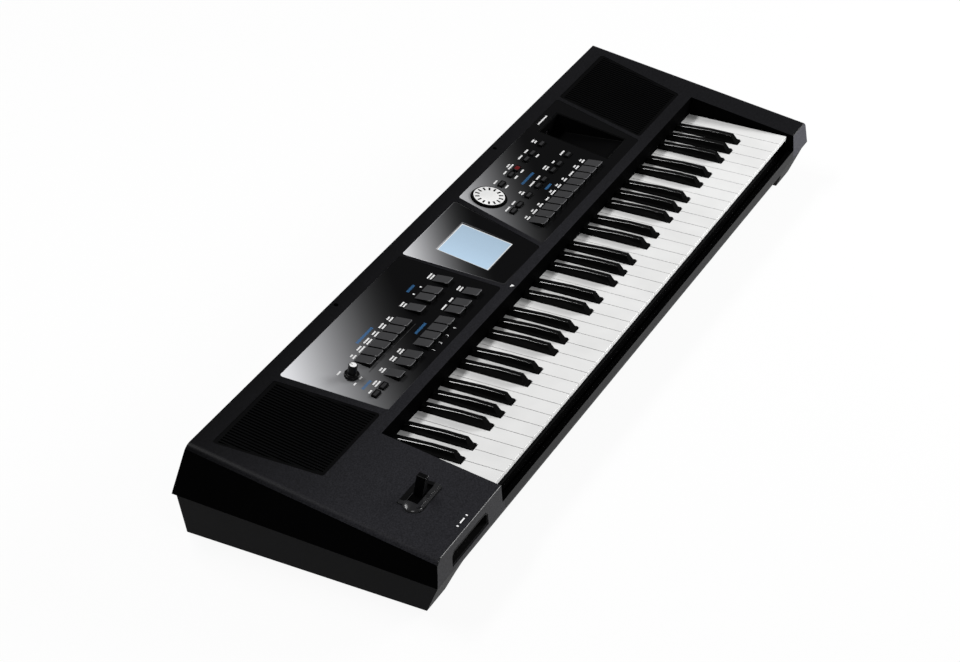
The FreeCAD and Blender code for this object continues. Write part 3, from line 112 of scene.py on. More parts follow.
class KeyboardSizes(bpy.types.PropertyGroup):
    """Edge radii and small sizes of the finished pieces."""

    case_edge: length("Case Edge", "Rounding of the edges of the case mouldings", 0.6)
    panel_edge: length("Panel Edge", "Rounding of the edges of the control panels", 0.8)
    key_edge: length("Key Edge", "Rounding of the edges of the white keys", 0.55)
    key_front_edge: length("Key Front Edge", "Rounding of the front top edge of a white key", 0.8)
    case_rim: length("Case Rim", "Rounding of the outer edge of the sloping top", 1.3)
    overhang: length("Overhang", "How far the lower case's ends are tucked in under the upper case", 4.5)
    sharp_edge: length("Black Key Edge", "Rounding of the edges round the top of a black key", 0.9)
    button_corner: length("Button Corner", "Corner radius at the front of a wedge button, on its bass side", 5.2)
    button_edge: length("Button Edge", "Rounding of the top edges of a button", 0.6)
    print_height: length("Print Height", "Height of the small print beside the buttons", 2.2)
    # The ring round the dial is a painted shadow on the panel.
    dial_ring: length("Dial Ring", "Radius of the dark ring that the dial stands in", 22.8)
    dial_band: length("Dial Band", "Width of the dark band round the pale face of the dial", 1.7)
    dial_marks: IntProperty(
        name="Dial Marks", description="Number of marks round the data dial", default=14, min=0)


class KeyboardColours(bpy.types.PropertyGroup):
    """Colours of the finishes."""

    case: tint("Case", "Satin upper moulding", 0.0075, 0.0075, 0.0088)
    lower_case: tint("Lower Case", "Matt lower moulding", 0.0026, 0.0026, 0.0031)
    panel: tint("Panel", "Polished panel, away from its pale corner", 0.0042, 0.0042, 0.0045)
    # The pale corner is a painted reflection on the polished panel.
    panel_pale: tint("Panel Corner", "Pale corner that the panel fades from", 0.79, 0.795, 0.82)
    white_key: tint("White Key", "Polished white keys", 0.80, 0.80, 0.795)
    black_key: tint("Black Key", "Polished black keys", 0.003, 0.003, 0.003)
    button: tint("Button", "Satin button caps", 0.042, 0.042, 0.044)
    screen: tint("Screen", "Lit face of the screen", 0.42, 0.56, 0.70)
    print_white: tint("White Print", "Pale print on the panels", 0.95, 0.95, 0.95)
    print_blue: tint("Blue Print", "Blue section bars on the panels", 0.035, 0.14, 0.32)
    felt: tint("Felt", "Felt under the keys", 0.004, 0.004, 0.0044)


class KeyboardStage(bpy.types.PropertyGroup):
    """Camera and light."""

    focal_length: amount("Focal Length", "Lens of the camera in millimetres", 102.313, 1.0)
    ambient: amount("Ambient", "Strength of the even light from all round", 0.13)
    key_power: amount("Key Light", "Power of the large light overhead, in watts", 41)
    side_power: amount("Side Light", "Power of the small light at the bass end, in watts", 7)
    front_power: amount("Front Light", "Power of the light on the player's side, in watts", 33)


def sizes():
    return bpy.context.scene.keyboard_sizes


def tint_of(name):
    return tuple(getattr(bpy.context.scene.keyboard_colours, name))


# Working by hand in edit mode


def deselect():
    if bpy.context.mode != "OBJECT":
        bpy.ops.object.mode_set(mode="OBJECT")
    bpy.ops.object.select_all(action="DESELECT")


def take(piece):
    """Makes a piece the only selected one."""
    deselect()
    piece.select_set(True)
    bpy.context.view_layer.objects.active = piece


def reopen():
    bpy.ops.object.mode_set(mode="EDIT")


def edit(piece):
    take(piece)
    reopen()


def done():
    bpy.ops.object.mode_set(mode="OBJECT")


def settle():
    """Writes the selected piece's place, turn and scale into its mesh."""
    bpy.ops.object.transform_apply(location=True, rotation=True, scale=True)


def pick(piece, kind, wanted):
    """Leaves a piece in edit mode with only those vertices, edges or faces selected that pass a test."""
    edit(piece)
    bpy.ops.mesh.select_mode(type=kind)
    bpy.ops.mesh.select_all(action="DESELECT")
    done()
    mesh = piece.data
    for item in {"VERT": mesh.vertices, "EDGE": mesh.edges, "FACE": mesh.polygons}[kind]:
        item.select = wanted(item)
    reopen()


def ends(piece, edge):
    return [piece.data.vertices[index].co for index in edge.vertices]


def pick_edges(piece, wanted):
    """Leaves a piece in edit mode with only those edges selected whose two ends pass a test."""
    pick(piece, "EDGE", lambda edge: wanted(*ends(piece, edge)))


def bevel_edges(piece, wanted, width, segments=1, material=-1):
    """Rounds the edges that pass a test; the new faces may take another of the piece's materials."""
    pick_edges(piece, wanted)
    bpy.ops.mesh.bevel(offset=width, segments=segments, affect="EDGES", clamp_overlap=True, material=material)
    done()


def edit_all(piece):
    edit(piece)
    bpy.ops.mesh.select_all(action="SELECT")


def split(piece, point, normal, drop=False):
    """Cuts a piece's faces along a plane and keeps both sides, or drops the far side and closes the cut."""
    edit_all(piece)
    bpy.ops.mesh.bisect(plane_co=point, plane_no=normal, use_fill=drop, clear_outer=drop)
    done()


def cut_off(piece, point, normal):
    split(piece, point, normal, drop=True)


def apply(piece, modifier):
    take(piece)
    bpy.ops.object.modifier_apply(modifier=modifier.name)


def soften(piece, width, segments=2, angle=28, material=-1):
    """Rounds every remaining sharp edge."""
    bevel = piece.modifiers.new("soft_edges", "BEVEL")
    bevel.material = material
    bevel.width = width
    bevel.segments = segments
    bevel.limit_method = "ANGLE"
    bevel.angle_limit = math.radians(angle)
    bevel.harden_normals = False
    apply(piece, bevel)


def thicken(piece, thickness, offset=-1):
    """Gives a sheet its thickness."""
    sheet = piece.modifiers.new("sheet", "SOLIDIFY")
    sheet.thickness = thickness
    sheet.offset = offset
    apply(piece, sheet)


def smooth(piece, angle=32):
    """Smooths the roundings and keeps the large faces flat."""
    take(piece)
    bpy.ops.object.shade_smooth_by_angle(angle=math.radians(angle))
    flat = piece.modifiers.new("flat_faces", "WEIGHTED_NORMAL")
    flat.keep_sharp = True
    apply(piece, flat)


def round_off(piece, width, segments=2, angle=28, material=-1):
    """Rounds a piece's sharp edges and smooths the roundings."""
    soften(piece, width, segments, angle, material)
    smooth(piece)


def named(context, name):
    """The piece that was just added, with its name."""
    piece = context.active_object
    piece.name = name
    return piece


def copy_of(node, name):
    """A copy of a node as clean faces, ready to be shaped further."""
    deselect()
    piece = bpy.data.objects.new(name, NODES[node].data.copy())
    bpy.context.scene.collection.objects.link(piece)
    piece.data.materials.clear()
    edit_all(piece)
    bpy.ops.mesh.remove_doubles(threshold=WELD)
    bpy.ops.mesh.dissolve_limited(angle_limit=FLATNESS)
    done()
    return piece


def dress(piece, *materials):
    piece.data.materials.clear()
    for material in materials:
        piece.data.materials.append(material)


def recolour(piece, wanted, index):
    """Gives the faces that pass a test another of the piece's materials."""
    for face in piece.data.polygons:
        if wanted(face):
            face.material_index = index


def fit(piece, body, slot, *materials):
    """Gives a finished piece its materials and the body that it moves with."""
    if materials:
        dress(piece, *materials)
    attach(piece, body)
    return piece


def stand_for(piece, node, *materials):
    fit(piece, BODIES[node], SLOTS[node], *materials)
    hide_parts(node)
    return piece


def paint(node, material):
    """Gives a carried-over node its finish."""
    dress(NODES[node], material)


def height_of(point):
    """How far a point stands above the sloping top."""
    return (point - TOP_POINT).dot(TOP_NORMAL)


def in_top(a, b):
    """Whether both ends of an edge lie in the sloping top."""
    return near(height_of(a), TOP_HEIGHT) and near(height_of(b), TOP_HEIGHT)


def crest(node):
    """How far a node stands above the sloping top."""
    return max(height_of(vertex.co) for vertex in NODES[node].data.vertices)


def on_top(x, y, height=0.0):
    """The point of the sloping top at a place given in millimetres, raised by a height in metres."""
    foot = Vector((x * MM, y * MM, TOP_POINT.z + (y * MM - TOP_POINT.y) * math.tan(TILT)))
    return foot + TOP_NORMAL * height


def bar(context, name, spot, size, edge):
    """A bar that lies on the sloping top, of a size in millimetres, with rounded edges."""
    deselect()
    bpy.ops.mesh.primitive_cube_add(size=MM, location=spot, rotation=LYING)
    piece = named(context, name)
    reopen()
    bpy.ops.transform.resize(value=size, orient_type="LOCAL")
    done()
    settle()
    soften(piece, edge)
    return piece


def near(a, b, within=0.05 * MM):
    return abs(a - b) < within


def key_bounds():
    """The space of the white keys that shows, with the gap behind them."""
    boxes = [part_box(node) for node in WHITE_KEYS]
    low = Vector(min(box[0][axis] for box in boxes) for axis in range(3))
    high = Vector(max(box[1][axis] for box in boxes) for axis in range(3))
    high.y = FALLBOARD_Y
    return low, high


# Finishes


def finish(name, colour, roughness, specular=0.5):
    """A material with its main shader, and its tree to build on."""
    material = bpy.data.materials.new(name)
    material.use_nodes = True
    shader = material.node_tree.nodes["Principled BSDF"]
    shader.inputs["Base Color"].default_value = (*colour, 1)
    shader.inputs["Roughness"].default_value = roughness
    shader.inputs["Specular IOR Level"].default_value = specular
    return material, material.node_tree, shader


def link(output, target):
    output.id_data.links.new(output, target)


def add(tree, kind, **values):
    """Adds a node and sets its properties and inputs by name."""
    node = tree.nodes.new(kind)
    for name, value in values.items():
        socket = node.inputs.get(name.replace("_", " ").title())
        if socket is None:
            setattr(node, name, value)
        else:
            socket.default_value = value
    return node


def place_on(tree, node):
    """Lets a node work on the piece's own coordinates."""
    place = tree.nodes.new("ShaderNodeTexCoord")
    link(place.outputs["Object"], node.inputs["Vector"])
    return node


def noise(tree, scale, detail=2.0):
    return place_on(tree, add(tree, "ShaderNodeTexNoise", scale=scale, detail=detail)).outputs["Fac"]


def ramp(tree, factor, stops, blend="LINEAR"):
    node = tree.nodes.new("ShaderNodeValToRGB")
    band = node.color_ramp
    band.interpolation = blend
    while len(band.elements) < len(stops):
        band.elements.new(0.5)
    for element, (place, colour) in zip(band.elements, stops):
        element.position = place
        element.color = (*colour, 1)
    link(factor, node.inputs["Fac"])
    return node.outputs["Color"]


def grain(tree, shader, scale, strength, distance):
    """Fine relief of a moulded surface."""
    bump = add(tree, "ShaderNodeBump", strength=strength, distance=distance)
    link(noise(tree, scale, 3.0), bump.inputs["Height"])
    link(bump.outputs["Normal"], shader.inputs["Normal"])


def shade(colour, factor):
    return tuple(min(1.0, channel * factor) for channel in colour)


def mottle(tree, shader, colour, scale, detail, dark, pale, steps=(0.3, 0.7)):
    """Lets the colour change from place to place, between two shares of it."""
    tone = ramp(tree, noise(tree, scale, detail), list(zip(steps, (shade(colour, dark), shade(colour, pale)))))
    link(tone, shader.inputs["Base Color"])


def wear(tree, shader, scale, detail, low, high):
    """Lets the roughness change from place to place."""
    node = add(tree, "ShaderNodeMapRange", to_min=low, to_max=high)
    link(noise(tree, scale, detail), node.inputs["Value"])
    link(node.outputs["Result"], shader.inputs["Roughness"])


def moulding(name, colour, roughness, specular, scale=2200, relief=0.12):
    """Satin plastic with a fine grain and a slight change of tone from place to place."""
    material, tree, shader = finish(name, colour, roughness, specular)
    mottle(tree, shader, colour, scale=14, detail=3.0, dark=0.86, pale=1.14)
    wear(tree, shader, scale=420, detail=2.0, low=roughness - 0.06, high=roughness + 0.06)
    grain(tree, shader, scale, relief, 0.05 * MM)
    return material


def along(tree, axis, start, end):
    """How far a place lies along one of the piece's own axes, between two places given in metres."""
    parts = place_on(tree, tree.nodes.new("ShaderNodeSeparateXYZ"))
    reach = add(tree, "ShaderNodeMapRange", from_min=start, from_max=end)
    link(parts.outputs[axis], reach.inputs["Value"])
    return reach.outputs["Result"]


def multiply(tree, first, second):
    mixed = add(tree, "ShaderNodeMix", data_type="RGBA", blend_type="MULTIPLY")
    mixed.inputs["Factor"].default_value = 1.0
    link(first, mixed.inputs["A"])
    link(second, mixed.inputs["B"])
    return mixed.outputs["Result"]


# The stretches over which the painted light and shade on the case change, and its painted tones as shares of the
# case's colour.
TONE_DEPTH, TONE_RUN = (-60 * MM, 140 * MM), (100 * MM, 400 * MM)
FRONT_SHARE, BACK_SHARE, TREBLE_SHARE, RAIL_SHARE = 2.4, 0.45, 0.85, 0.9
CHEEK_SHARES = (5.0, 5.0, 5.6)


def top_tone(tree, colour):
    """Painted light and shade: paler on the player's side and darker at the back, which is lost towards the treble
    end.
    """
    depth = ramp(tree, along(tree, "Y", *TONE_DEPTH),
                 [(0.0, shade(colour, FRONT_SHARE)), (1.0, shade(colour, BACK_SHARE))])
    tone = add(tree, "ShaderNodeMix", data_type="RGBA")
    link(along(tree, "X", *TONE_RUN), tone.inputs["Factor"])
    link(depth, tone.inputs["A"])
    tone.inputs["B"].default_value = (*shade(colour, TREBLE_SHARE), 1)
    return tone.outputs["Result"]


def front_tone(tree, colour):
    """Painted light and shade on the front faces: a lit tone for the front of the bass block, a shaded one for the
    rail and a paler bluish one for the treble cheek.
    """
    low, high = key_bounds()
    left, right = CAD_BOX[0][0], CAD_BOX[1][0]
    block, cheek = ((x - left) / (right - left) for x in (low.x, high.x))
    bluish = tuple(channel * share for channel, share in zip(colour, CHEEK_SHARES))
    stops = [(0.0, shade(colour, FRONT_SHARE)), (block, shade(colour, RAIL_SHARE)), (cheek, bluish)]
    return ramp(tree, along(tree, "X", left, right), stops, "CONSTANT")


def toned_moulding(name, colour, roughness, specular, tone):
    """Speckled satin plastic whose tone changes from place to place with the painted light and shade it is given.
    """
    material, tree, shader = finish(name, colour, roughness, specular)
    speckle = ramp(tree, noise(tree, 650, 2.0), [(0.35, (0.65,) * 3), (0.65, (1.35,) * 3)])
    link(multiply(tree, tone(tree, colour), speckle), shader.inputs["Base Color"])
    wear(tree, shader, scale=420, detail=2.0, low=roughness - 0.06, high=roughness + 0.06)
    grain(tree, shader, scale=2200, strength=0.15, distance=0.06 * MM)
    return material


def polish(name, colour, roughness, specular):
    """Polished plastic with faint handling marks in its gloss."""
    material, tree, shader = finish(name, colour, roughness, specular)
    mottle(tree, shader, colour, scale=22, detail=2.0, dark=0.97, pale=1.03, steps=(0.35, 0.65))
    wear(tree, shader, scale=60, detail=4.0, low=roughness * 0.75, high=roughness * 1.3)
    return material


def metal(name, colour, roughness):
    material, tree, shader = finish(name, colour, roughness)
    shader.inputs["Metallic"].default_value = 1.0
    mottle(tree, shader, colour, scale=300, detail=2.0, dark=0.9, pale=1.1)
    wear(tree, shader, scale=900, detail=2.0, low=roughness - 0.06, high=roughness + 0.08)
    return material


# How much of the painted reflection's pale tone is left along the fade of a panel.
FADE_STEPS = [(0.0, 1.0), (0.12, 0.724), (0.24, 0.498), (0.36, 0.322), (0.48, 0.186), (0.6, 0.096), (0.7, 0.046),
              (0.8, 0.02)]


def faded_panel(name, node, begin, run, depth):
    """Polished black with a painted reflection that fades from a pale corner at the back left of the panel, on a
    slant.

    The fade begins part of the way along, and runs its whole length over a run across or a depth forwards.
    """
    low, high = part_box(node)
    black, pale = tint_of("panel"), tint_of("panel_pale")
    material, tree, shader = finish(name, black, 0.12, 0.03)
    slant = add(tree, "ShaderNodeMapping", rotation=(0, 0, math.atan2(1 / depth, 1 / run)))
    slant.inputs["Scale"].default_value = (math.hypot(1 / depth, 1 / run),) * 3
    slant.inputs["Location"].default_value = (begin - low.x / run + high.y / depth, 0, 0)
    fade = tree.nodes.new("ShaderNodeTexGradient")
    place_on(tree, slant)
    link(slant.outputs["Vector"], fade.inputs["Vector"])
    stops = [(place, shade(pale, share)) for place, share in FADE_STEPS] + [(0.92, black), (1.0, black)]
    link(ramp(tree, fade.outputs["Fac"], stops, "B_SPLINE"), shader.inputs["Base Color"])
    wear(tree, shader, scale=70, detail=3.0, low=0.09, high=0.16)
    return material


def lit_screen(name, node):
    """A lit screen that is paler towards its back left, with its fine rows of dots."""
    low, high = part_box(node)
    colour = tint_of("screen")
    material, tree, shader = finish(name, colour, 0.22, 0.3)
    tone = ramp(tree, along(tree, "X", low.x, high.x),
                [(0.0, shade(colour, 1.18)), (0.5, colour), (1.0, shade(colour, 0.88))])
    wave = place_on(tree, add(tree, "ShaderNodeTexWave", scale=480, distortion=0.0))
    dots = ramp(tree, wave.outputs["Fac"], [(0.2, (0.94, 0.94, 0.94)), (0.6, (1, 1, 1))])
    link(multiply(tree, tone, dots), shader.inputs["Base Color"])
    return material


def board(name):
    """Green laminate with paler copper tracks."""
    material, tree, shader = finish(name, (0.02, 0.11, 0.05), 0.4, 0.4)
    tracks = place_on(tree, add(tree, "ShaderNodeTexBrick", scale=90))
    tracks.inputs["Color1"].default_value = (0.02, 0.11, 0.05, 1)
    tracks.inputs["Color2"].default_value = (0.025, 0.14, 0.06, 1)
    tracks.inputs["Mortar"].default_value = (0.05, 0.2, 0.09, 1)
    link(tracks.outputs["Color"], shader.inputs["Base Color"])
    return material


def felt(name, colour):
    material, tree, shader = finish(name, colour, 0.95, 0.1)
    mottle(tree, shader, colour, scale=900, detail=4.0, dark=0.6, pale=1.3)
    shader.inputs["Sheen Weight"].default_value = 0.03
    grain(tree, shader, scale=1500, strength=0.5, distance=0.2 * MM)
    return material


# Pieces


# The depth of a lower end wall, the places beyond which the ends lie, and the reach of the rim and the key well.
END_WALL, END_FACE_X, ROUNDED_END_X = 5.5 * MM, 480 * MM, 505 * MM
RIM_REACH, WELL_GAP = 26 * MM, 4 * MM


class KEYBOARD_OT_case(bpy.types.Operator):
    """Upper and lower mouldings of the case"""

    bl_idname = "keyboard.case"
    bl_label = "Case"

    def execute(self, context):
        # The sloping top carries painted light and shade: paler at the front, darker at the back.
        satin = toned_moulding("satin_case", tint_of("case"), 0.38, 0.09, top_tone)
        front_painted_finish = toned_moulding("satin_case_front", tint_of("case"), 0.38, 0.09, front_tone)
        # Painted shade for the walls and the rail round the keys and for the two ends.
        dark = moulding("dark_key_well", (0.0008, 0.0008, 0.0009), 0.7, 0.008)
        bright = polish("polished_case_rim", tint_of("case"), 0.2, 0.5)
        upper = copy_of("upper_case", "upper_case_shell")
        dress(upper, satin, dark, bright, front_painted_finish)
        top = [vertex.co.y for vertex in upper.data.vertices if near(height_of(vertex.co), TOP_HEIGHT)]
        front, back = min(top), max(top)
        bevel_edges(upper, self.front_outline(front), sizes().case_rim, 3, material=2)
        bevel_edges(upper, self.back_edge(back), sizes().case_rim, 3)
        round_off(upper, sizes().case_edge)
        stand_for(upper, "upper_case")
        # The front faces take their painted light and shade.
        recolour(upper, lambda face: face.normal.y < -FACING and face.center.y < front, 3)
        # The walls and the rail round the keys and the two ends take painted shade.
        recolour(upper, self.dark_wall(), 1)
        lower = copy_of("lower_case", "lower_case_shell")
        self.tuck_ends(lower)
        round_off(lower, sizes().case_edge)
        stand_for(lower, "lower_case", moulding("matt_lower_case", tint_of("lower_case"), 0.5, 0.04))
        return {"FINISHED"}

    def tuck_ends(self, piece):
        """Moves the tops of the lower case's end walls in, so that the upper case hangs over them."""
        low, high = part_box("lower_case")
        for end, inward in ((low.x, 1), (high.x, -1)):
            def at_top(vertex):
                return near(vertex.co.x, end, END_WALL) and vertex.co.z > (low.z + high.z) / 2

            pick(piece, "VERT", at_top)
            bpy.ops.transform.translate(value=(inward * sizes().overhang, 0, 0))
            done()

    def front_outline(self, front):
        """A test for the edges round the front faces, along the sloping top and down the rounded ends."""
        def wanted(a, b):
            if max(a.y, b.y) > front + 0.1 * MM or min(height_of(a), height_of(b)) < -RIM_REACH:
                return False
            return in_top(a, b) or min(abs(a.x), abs(b.x)) > ROUNDED_END_X

        return wanted

    def back_edge(self, back):
        """A test for the edges at the back of the sloping top."""
        return lambda a, b: in_top(a, b) and near(a.y, back) and near(b.y, back)

    def dark_wall(self):
        """A test for the walls and the rail round the keys and for the two ends, which take painted shade."""
        low, high = key_bounds()

        def wanted(face):
            spot = face.center
            if abs(face.normal.x) > FACING and abs(spot.x) > END_FACE_X:
                return True
            between = low.x - WELL_GAP < spot.x < high.x + WELL_GAP
            on_rail = spot.y < low.y and face.normal.y > -0.5
            beside = low.y < spot.y < high.y and face.normal.z < 0.5 and spot.z > low.z
            return between and (on_rail or beside)

        return wanted


class KEYBOARD_OT_white_keys(bpy.types.Operator):
    """White keys with a rounded front edge"""

    bl_idname = "keyboard.white_keys"
    bl_label = "White Keys"

    def execute(self, context):
        ivory = polish("polished_white_key", tint_of("white_key"), 0.2, 0.4)
        for node in WHITE_KEYS:
            low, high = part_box(node)
            piece = copy_of(node, "white_" + node)

            def front_edge(a, b):
                return near(a.y, low.y) and near(b.y, low.y) and near(a.z, high.z) and near(b.z, high.z)

            bevel_edges(piece, front_edge, sizes().key_front_edge, 4)
            round_off(piece, sizes().key_edge)
            stand_for(piece, node, ivory)
        return {"FINISHED"}


SHARP_CROWN, SHARP_FALL, SHARP_TAPER = 3.4 * MM, 1 * MM, 1.5 * MM


class KEYBOARD_OT_black_keys(bpy.types.Operator):
    """Black keys with rounded edges round the top"""

    bl_idname = "keyboard.black_keys"
    bl_label = "Black Keys"

    def execute(self, context):
        ebony = polish("polished_black_key", tint_of("black_key"), 0.2, 0.06)
        # The rounded edges round the top are painted paler than the key, a painted highlight, besides their higher
        # gloss.
        bright = polish("polished_black_edge", shade(tint_of("black_key"), 3), 0.1, 0.9)
        matt = moulding("matt_black_key_front", tint_of("black_key"), 0.6, 0.01)
        for node in BLACK_KEYS:
            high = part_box(node)[1]
            piece = copy_of(node, "black_" + node)

            def top_edge(a, b):
                lengthwise = near(a.x, b.x, SHARP_TAPER)
                across = near(a.z, b.z) and a.z < high.z - SHARP_FALL
                return min(a.z, b.z) > high.z - SHARP_CROWN and (lengthwise or across)

            dress(piece, ebony, bright, matt)
            bevel_edges(piece, top_edge, sizes().sharp_edge, 3, material=1)
            soften(piece, 0.35 * MM, angle=30)
            smooth(piece, 26)
            stand_for(piece, node)
            recolour(piece, lambda face: face.normal.y < -0.25 and face.material_index == 0, 2)
        return {"FINISHED"}


# Where the fade of the painted reflection on each panel begins, and its run across and depth forwards in metres.
PANEL_FADES = {"left_control_panel": (-0.02, 0.256, 0.234), "display_panel": (0.06, 0.18, 0.143),
               "right_control_panel": (0.115, 0.235, 0.182)}
LEDGE_PLACE, LEDGE_SIZE = (-232.5, 47.5), (109, 0.8, 0.2)


class KEYBOARD_OT_panels(bpy.types.Operator):
    """Polished control panels and display surround"""

    bl_idname = "keyboard.panels"
    bl_label = "Panels"

    def execute(self, context):
        for node, (begin, run, depth) in PANEL_FADES.items():
            piece = copy_of(node, node + "_insert")
            # The panel and its rounded edges carry the painted reflection, which on the edges begins sooner and
            # fades over more.
            dress(piece, faded_panel("faded_" + node, node, begin, run, depth),
                  faded_panel("rim_of_" + node, node, begin - 0.2, run * 1.2, depth * 1.2))
            round_off(piece, sizes().panel_edge, material=1)
            stand_for(piece, node)
        self.ledge(context)
        # The pocket takes the panel's black darkened further, painted shade in the recess.
        pocket = copy_of("stick_pocket", "stick_pocket_tray")
        round_off(pocket, sizes().panel_edge)
        stand_for(pocket, "stick_pocket", polish("satin_pocket", shade(tint_of("panel"), 0.4), 0.45, 0.03))
        paint("stick_socket", metal("socket_shell", (0.55, 0.55, 0.56), 0.3))
        return {"FINISHED"}

    def ledge(self, context):
        """The fine step in front of the upper row of buttons on the left panel, painted paler than the panel as a
        painted highlight.
        """
        spot = on_top(*LEDGE_PLACE, PANEL_FACE + LEDGE_SIZE[2] / 2 * MM)
        ledge = bar(context, "left_panel_ledge", spot, LEDGE_SIZE, 0.08 * MM)
        smooth(ledge)
        fit(ledge, "case", "panel_gloss", moulding("panel_ledge", (0.035, 0.035, 0.036), 0.3, 0.4))


SCREEN_PLACE, SCREEN_SIZE = (-1.5, 61.5), (66 * MM, 68 * MM, 1)
SCREEN_BORDER, SCREEN_DEPTH, SCREEN_SHEET = 1.2 * MM, 0.5 * MM, 0.08 * MM


class KEYBOARD_OT_screen(bpy.types.Operator):
    """Lit screen with a pale border"""

    bl_idname = "keyboard.screen"
    bl_label = "Screen"

    def execute(self, context):
        deselect()
        middle = on_top(*SCREEN_PLACE, -SCREEN_DEPTH)
        bpy.ops.mesh.primitive_plane_add(size=1, location=middle, rotation=LYING)
        piece = named(context, "screen_face")
        reopen()
        bpy.ops.transform.resize(value=SCREEN_SIZE, orient_type="LOCAL")
        bpy.ops.mesh.inset(thickness=SCREEN_BORDER, depth=0)
        done()
        settle()
        border = moulding("screen_border", (0.75, 0.77, 0.78), 0.4, 0.3)
        fit(piece, "case", "screen", border, lit_screen("lit_screen", "display_module"))
        recolour(piece, lambda face: face.area > SCREEN_SIZE[0] * SCREEN_SIZE[1] / 2, 1)
        thicken(piece, SCREEN_SHEET)
        paint("display_module", moulding("screen_frame", (0.006, 0.006, 0.0065), 0.5, 0.1))
        return {"FINISHED"}


class KEYBOARD_OT_grilles(bpy.types.Operator):
    """Speaker grilles and the speakers behind them"""

    bl_idname = "keyboard.grilles"
    bl_label = "Grilles"

    def execute(self, context):
        ribs = moulding("satin_grille", (0.002, 0.002, 0.0022), 0.5, 0.03)
        for node in ("left_speaker_grille", "right_speaker_grille"):
            paint(node, ribs)
        paint("speakers", moulding("speaker_paper", (0.003, 0.003, 0.003), 0.8, 0.02, 900, 0.4))
        return {"FINISHED"}


WEDGE_TOP, WEDGE_SIDE, SMALL_SIDE = 3.6 * MM, 3 * MM, 1 * MM
SMALL_CORNER, SMALL_RIM, SMALL_HOLLOW = 2.8 * MM, 1.7 * MM, 0.25 * MM
LENS_PLACE, LENS_SIZE = (178, 94), (7.4, 5.2, 0.24)


class KEYBOARD_OT_buttons(bpy.types.Operator):
    """Wedge buttons and small buttons"""

    bl_idname = "keyboard.buttons"
    bl_label = "Buttons"

    def execute(self, context):
        cap = moulding("satin_button", tint_of("button"), 0.45, 0.16, 2600, 0.16)
        small = moulding("satin_small_button", shade(tint_of("button"), 0.7), 0.42, 0.16, 2600, 0.1)
        # The sides of the buttons take a darker copy of the cap's plastic, painted shade.
        side = moulding("dark_button_side", (0.0022, 0.0022, 0.0024), 0.4, 0.06, 2600, 0.1)
        # The top edges of the wedge buttons are painted paler, a painted highlight.
        edge = moulding("worn_button_edge", shade(tint_of("button"), 3.8), 0.3, 0.4, 2600, 0.1)

        def below_top(face):
            return face.normal.dot(TOP_NORMAL) < 0.55

        def top_edge(a, b):
            return min(height_of(a), height_of(b)) > WEDGE_TOP

        for node in WEDGE_BUTTONS:
            piece = copy_of(node, node + "_caps")
            dress(piece, cap, side, edge)
            bass_corner, treble_corner = self.front_corner(piece, -1), self.front_corner(piece, 1)
            bevel_edges(piece, bass_corner, sizes().button_corner, 5)
            bevel_edges(piece, treble_corner, sizes().button_corner / 3, 3)
            bevel_edges(piece, top_edge, sizes().button_edge, 3, material=2)
            round_off(piece, sizes().button_edge / 2)
            stand_for(piece, node)
            # The sides of each wedge button take the painted shade.
            recolour(piece, below_top, 1)
        for node in SMALL_BUTTONS:
            piece = copy_of(node, node + "_caps")
            bevel_edges(piece, lambda a, b: self.stands(a, b, SMALL_SIDE), SMALL_CORNER, 4)
            self.sink_middle(piece)
            round_off(piece, 0.3 * MM)
            stand_for(piece, node, small, side)
            middle = self.top_face(piece, 25)
            # The sides of a small button and the rim round its sunk middle take the darker side colour.
            recolour(piece, lambda face: not middle(face), 1)
        self.lens(context)
        return {"FINISHED"}

    def front_corner(self, piece, side):
        """A test for the upright edges at the front of each button, on its bass (-1) or its treble side (1)."""
        upright = [edge for edge in piece.data.edges if self.stands(*ends(piece, edge))]
        places = sorted(ends(piece, edge)[0].x for edge in upright)
        on_side = places[0::2] if side < 0 else places[1::2]

        def wanted(a, b):
            return self.stands(a, b) and any(near(a.x, x) for x in on_side)

        return wanted

    def stands(self, a, b, least=WEDGE_SIDE):
        """Whether an edge is square to the sloping top and reaches a least height above it."""
        return abs((a - b).normalized().dot(TOP_NORMAL)) > SQUARE and max(height_of(a), height_of(b)) > least

    def top_face(self, piece, least):
        """A test for the level faces on top of the buttons, from a least area in square millimetres."""
        top = max(height_of(vertex.co) for vertex in piece.data.vertices)

        def wanted(face):
            level = height_of(face.center) > top - 0.6 * MM and face.normal.dot(TOP_NORMAL) > 0.98
            return level and face.area > least * MM * MM

        return wanted

    def sink_middle(self, piece):
        """A shallow square in the middle of each small button."""
        pick(piece, "FACE", self.top_face(piece, 20))
        bpy.ops.mesh.inset(thickness=SMALL_RIM, depth=-SMALL_HOLLOW, use_individual=True)
        done()

    def lens(self, context):
        """The red face of the lit button."""
        spot = on_top(*LENS_PLACE, crest("upper_function_buttons") - LENS_SIZE[2] / 2 * MM)
        lens = bar(context, "function_button_lens", spot, LENS_SIZE, 0.1 * MM)
        smooth(lens)
        fit(lens, "upper_function_buttons", "small_button", moulding("red_lens", (0.13, 0.006, 0.008), 0.3, 0.3))


CAP_RADIUS, CAP_DEPTH = 4.1 * MM, 0.5 * MM
POINTER_OUT, POINTER_SIZE = 2.2 * MM, (0.9, 3.4, 0.2)


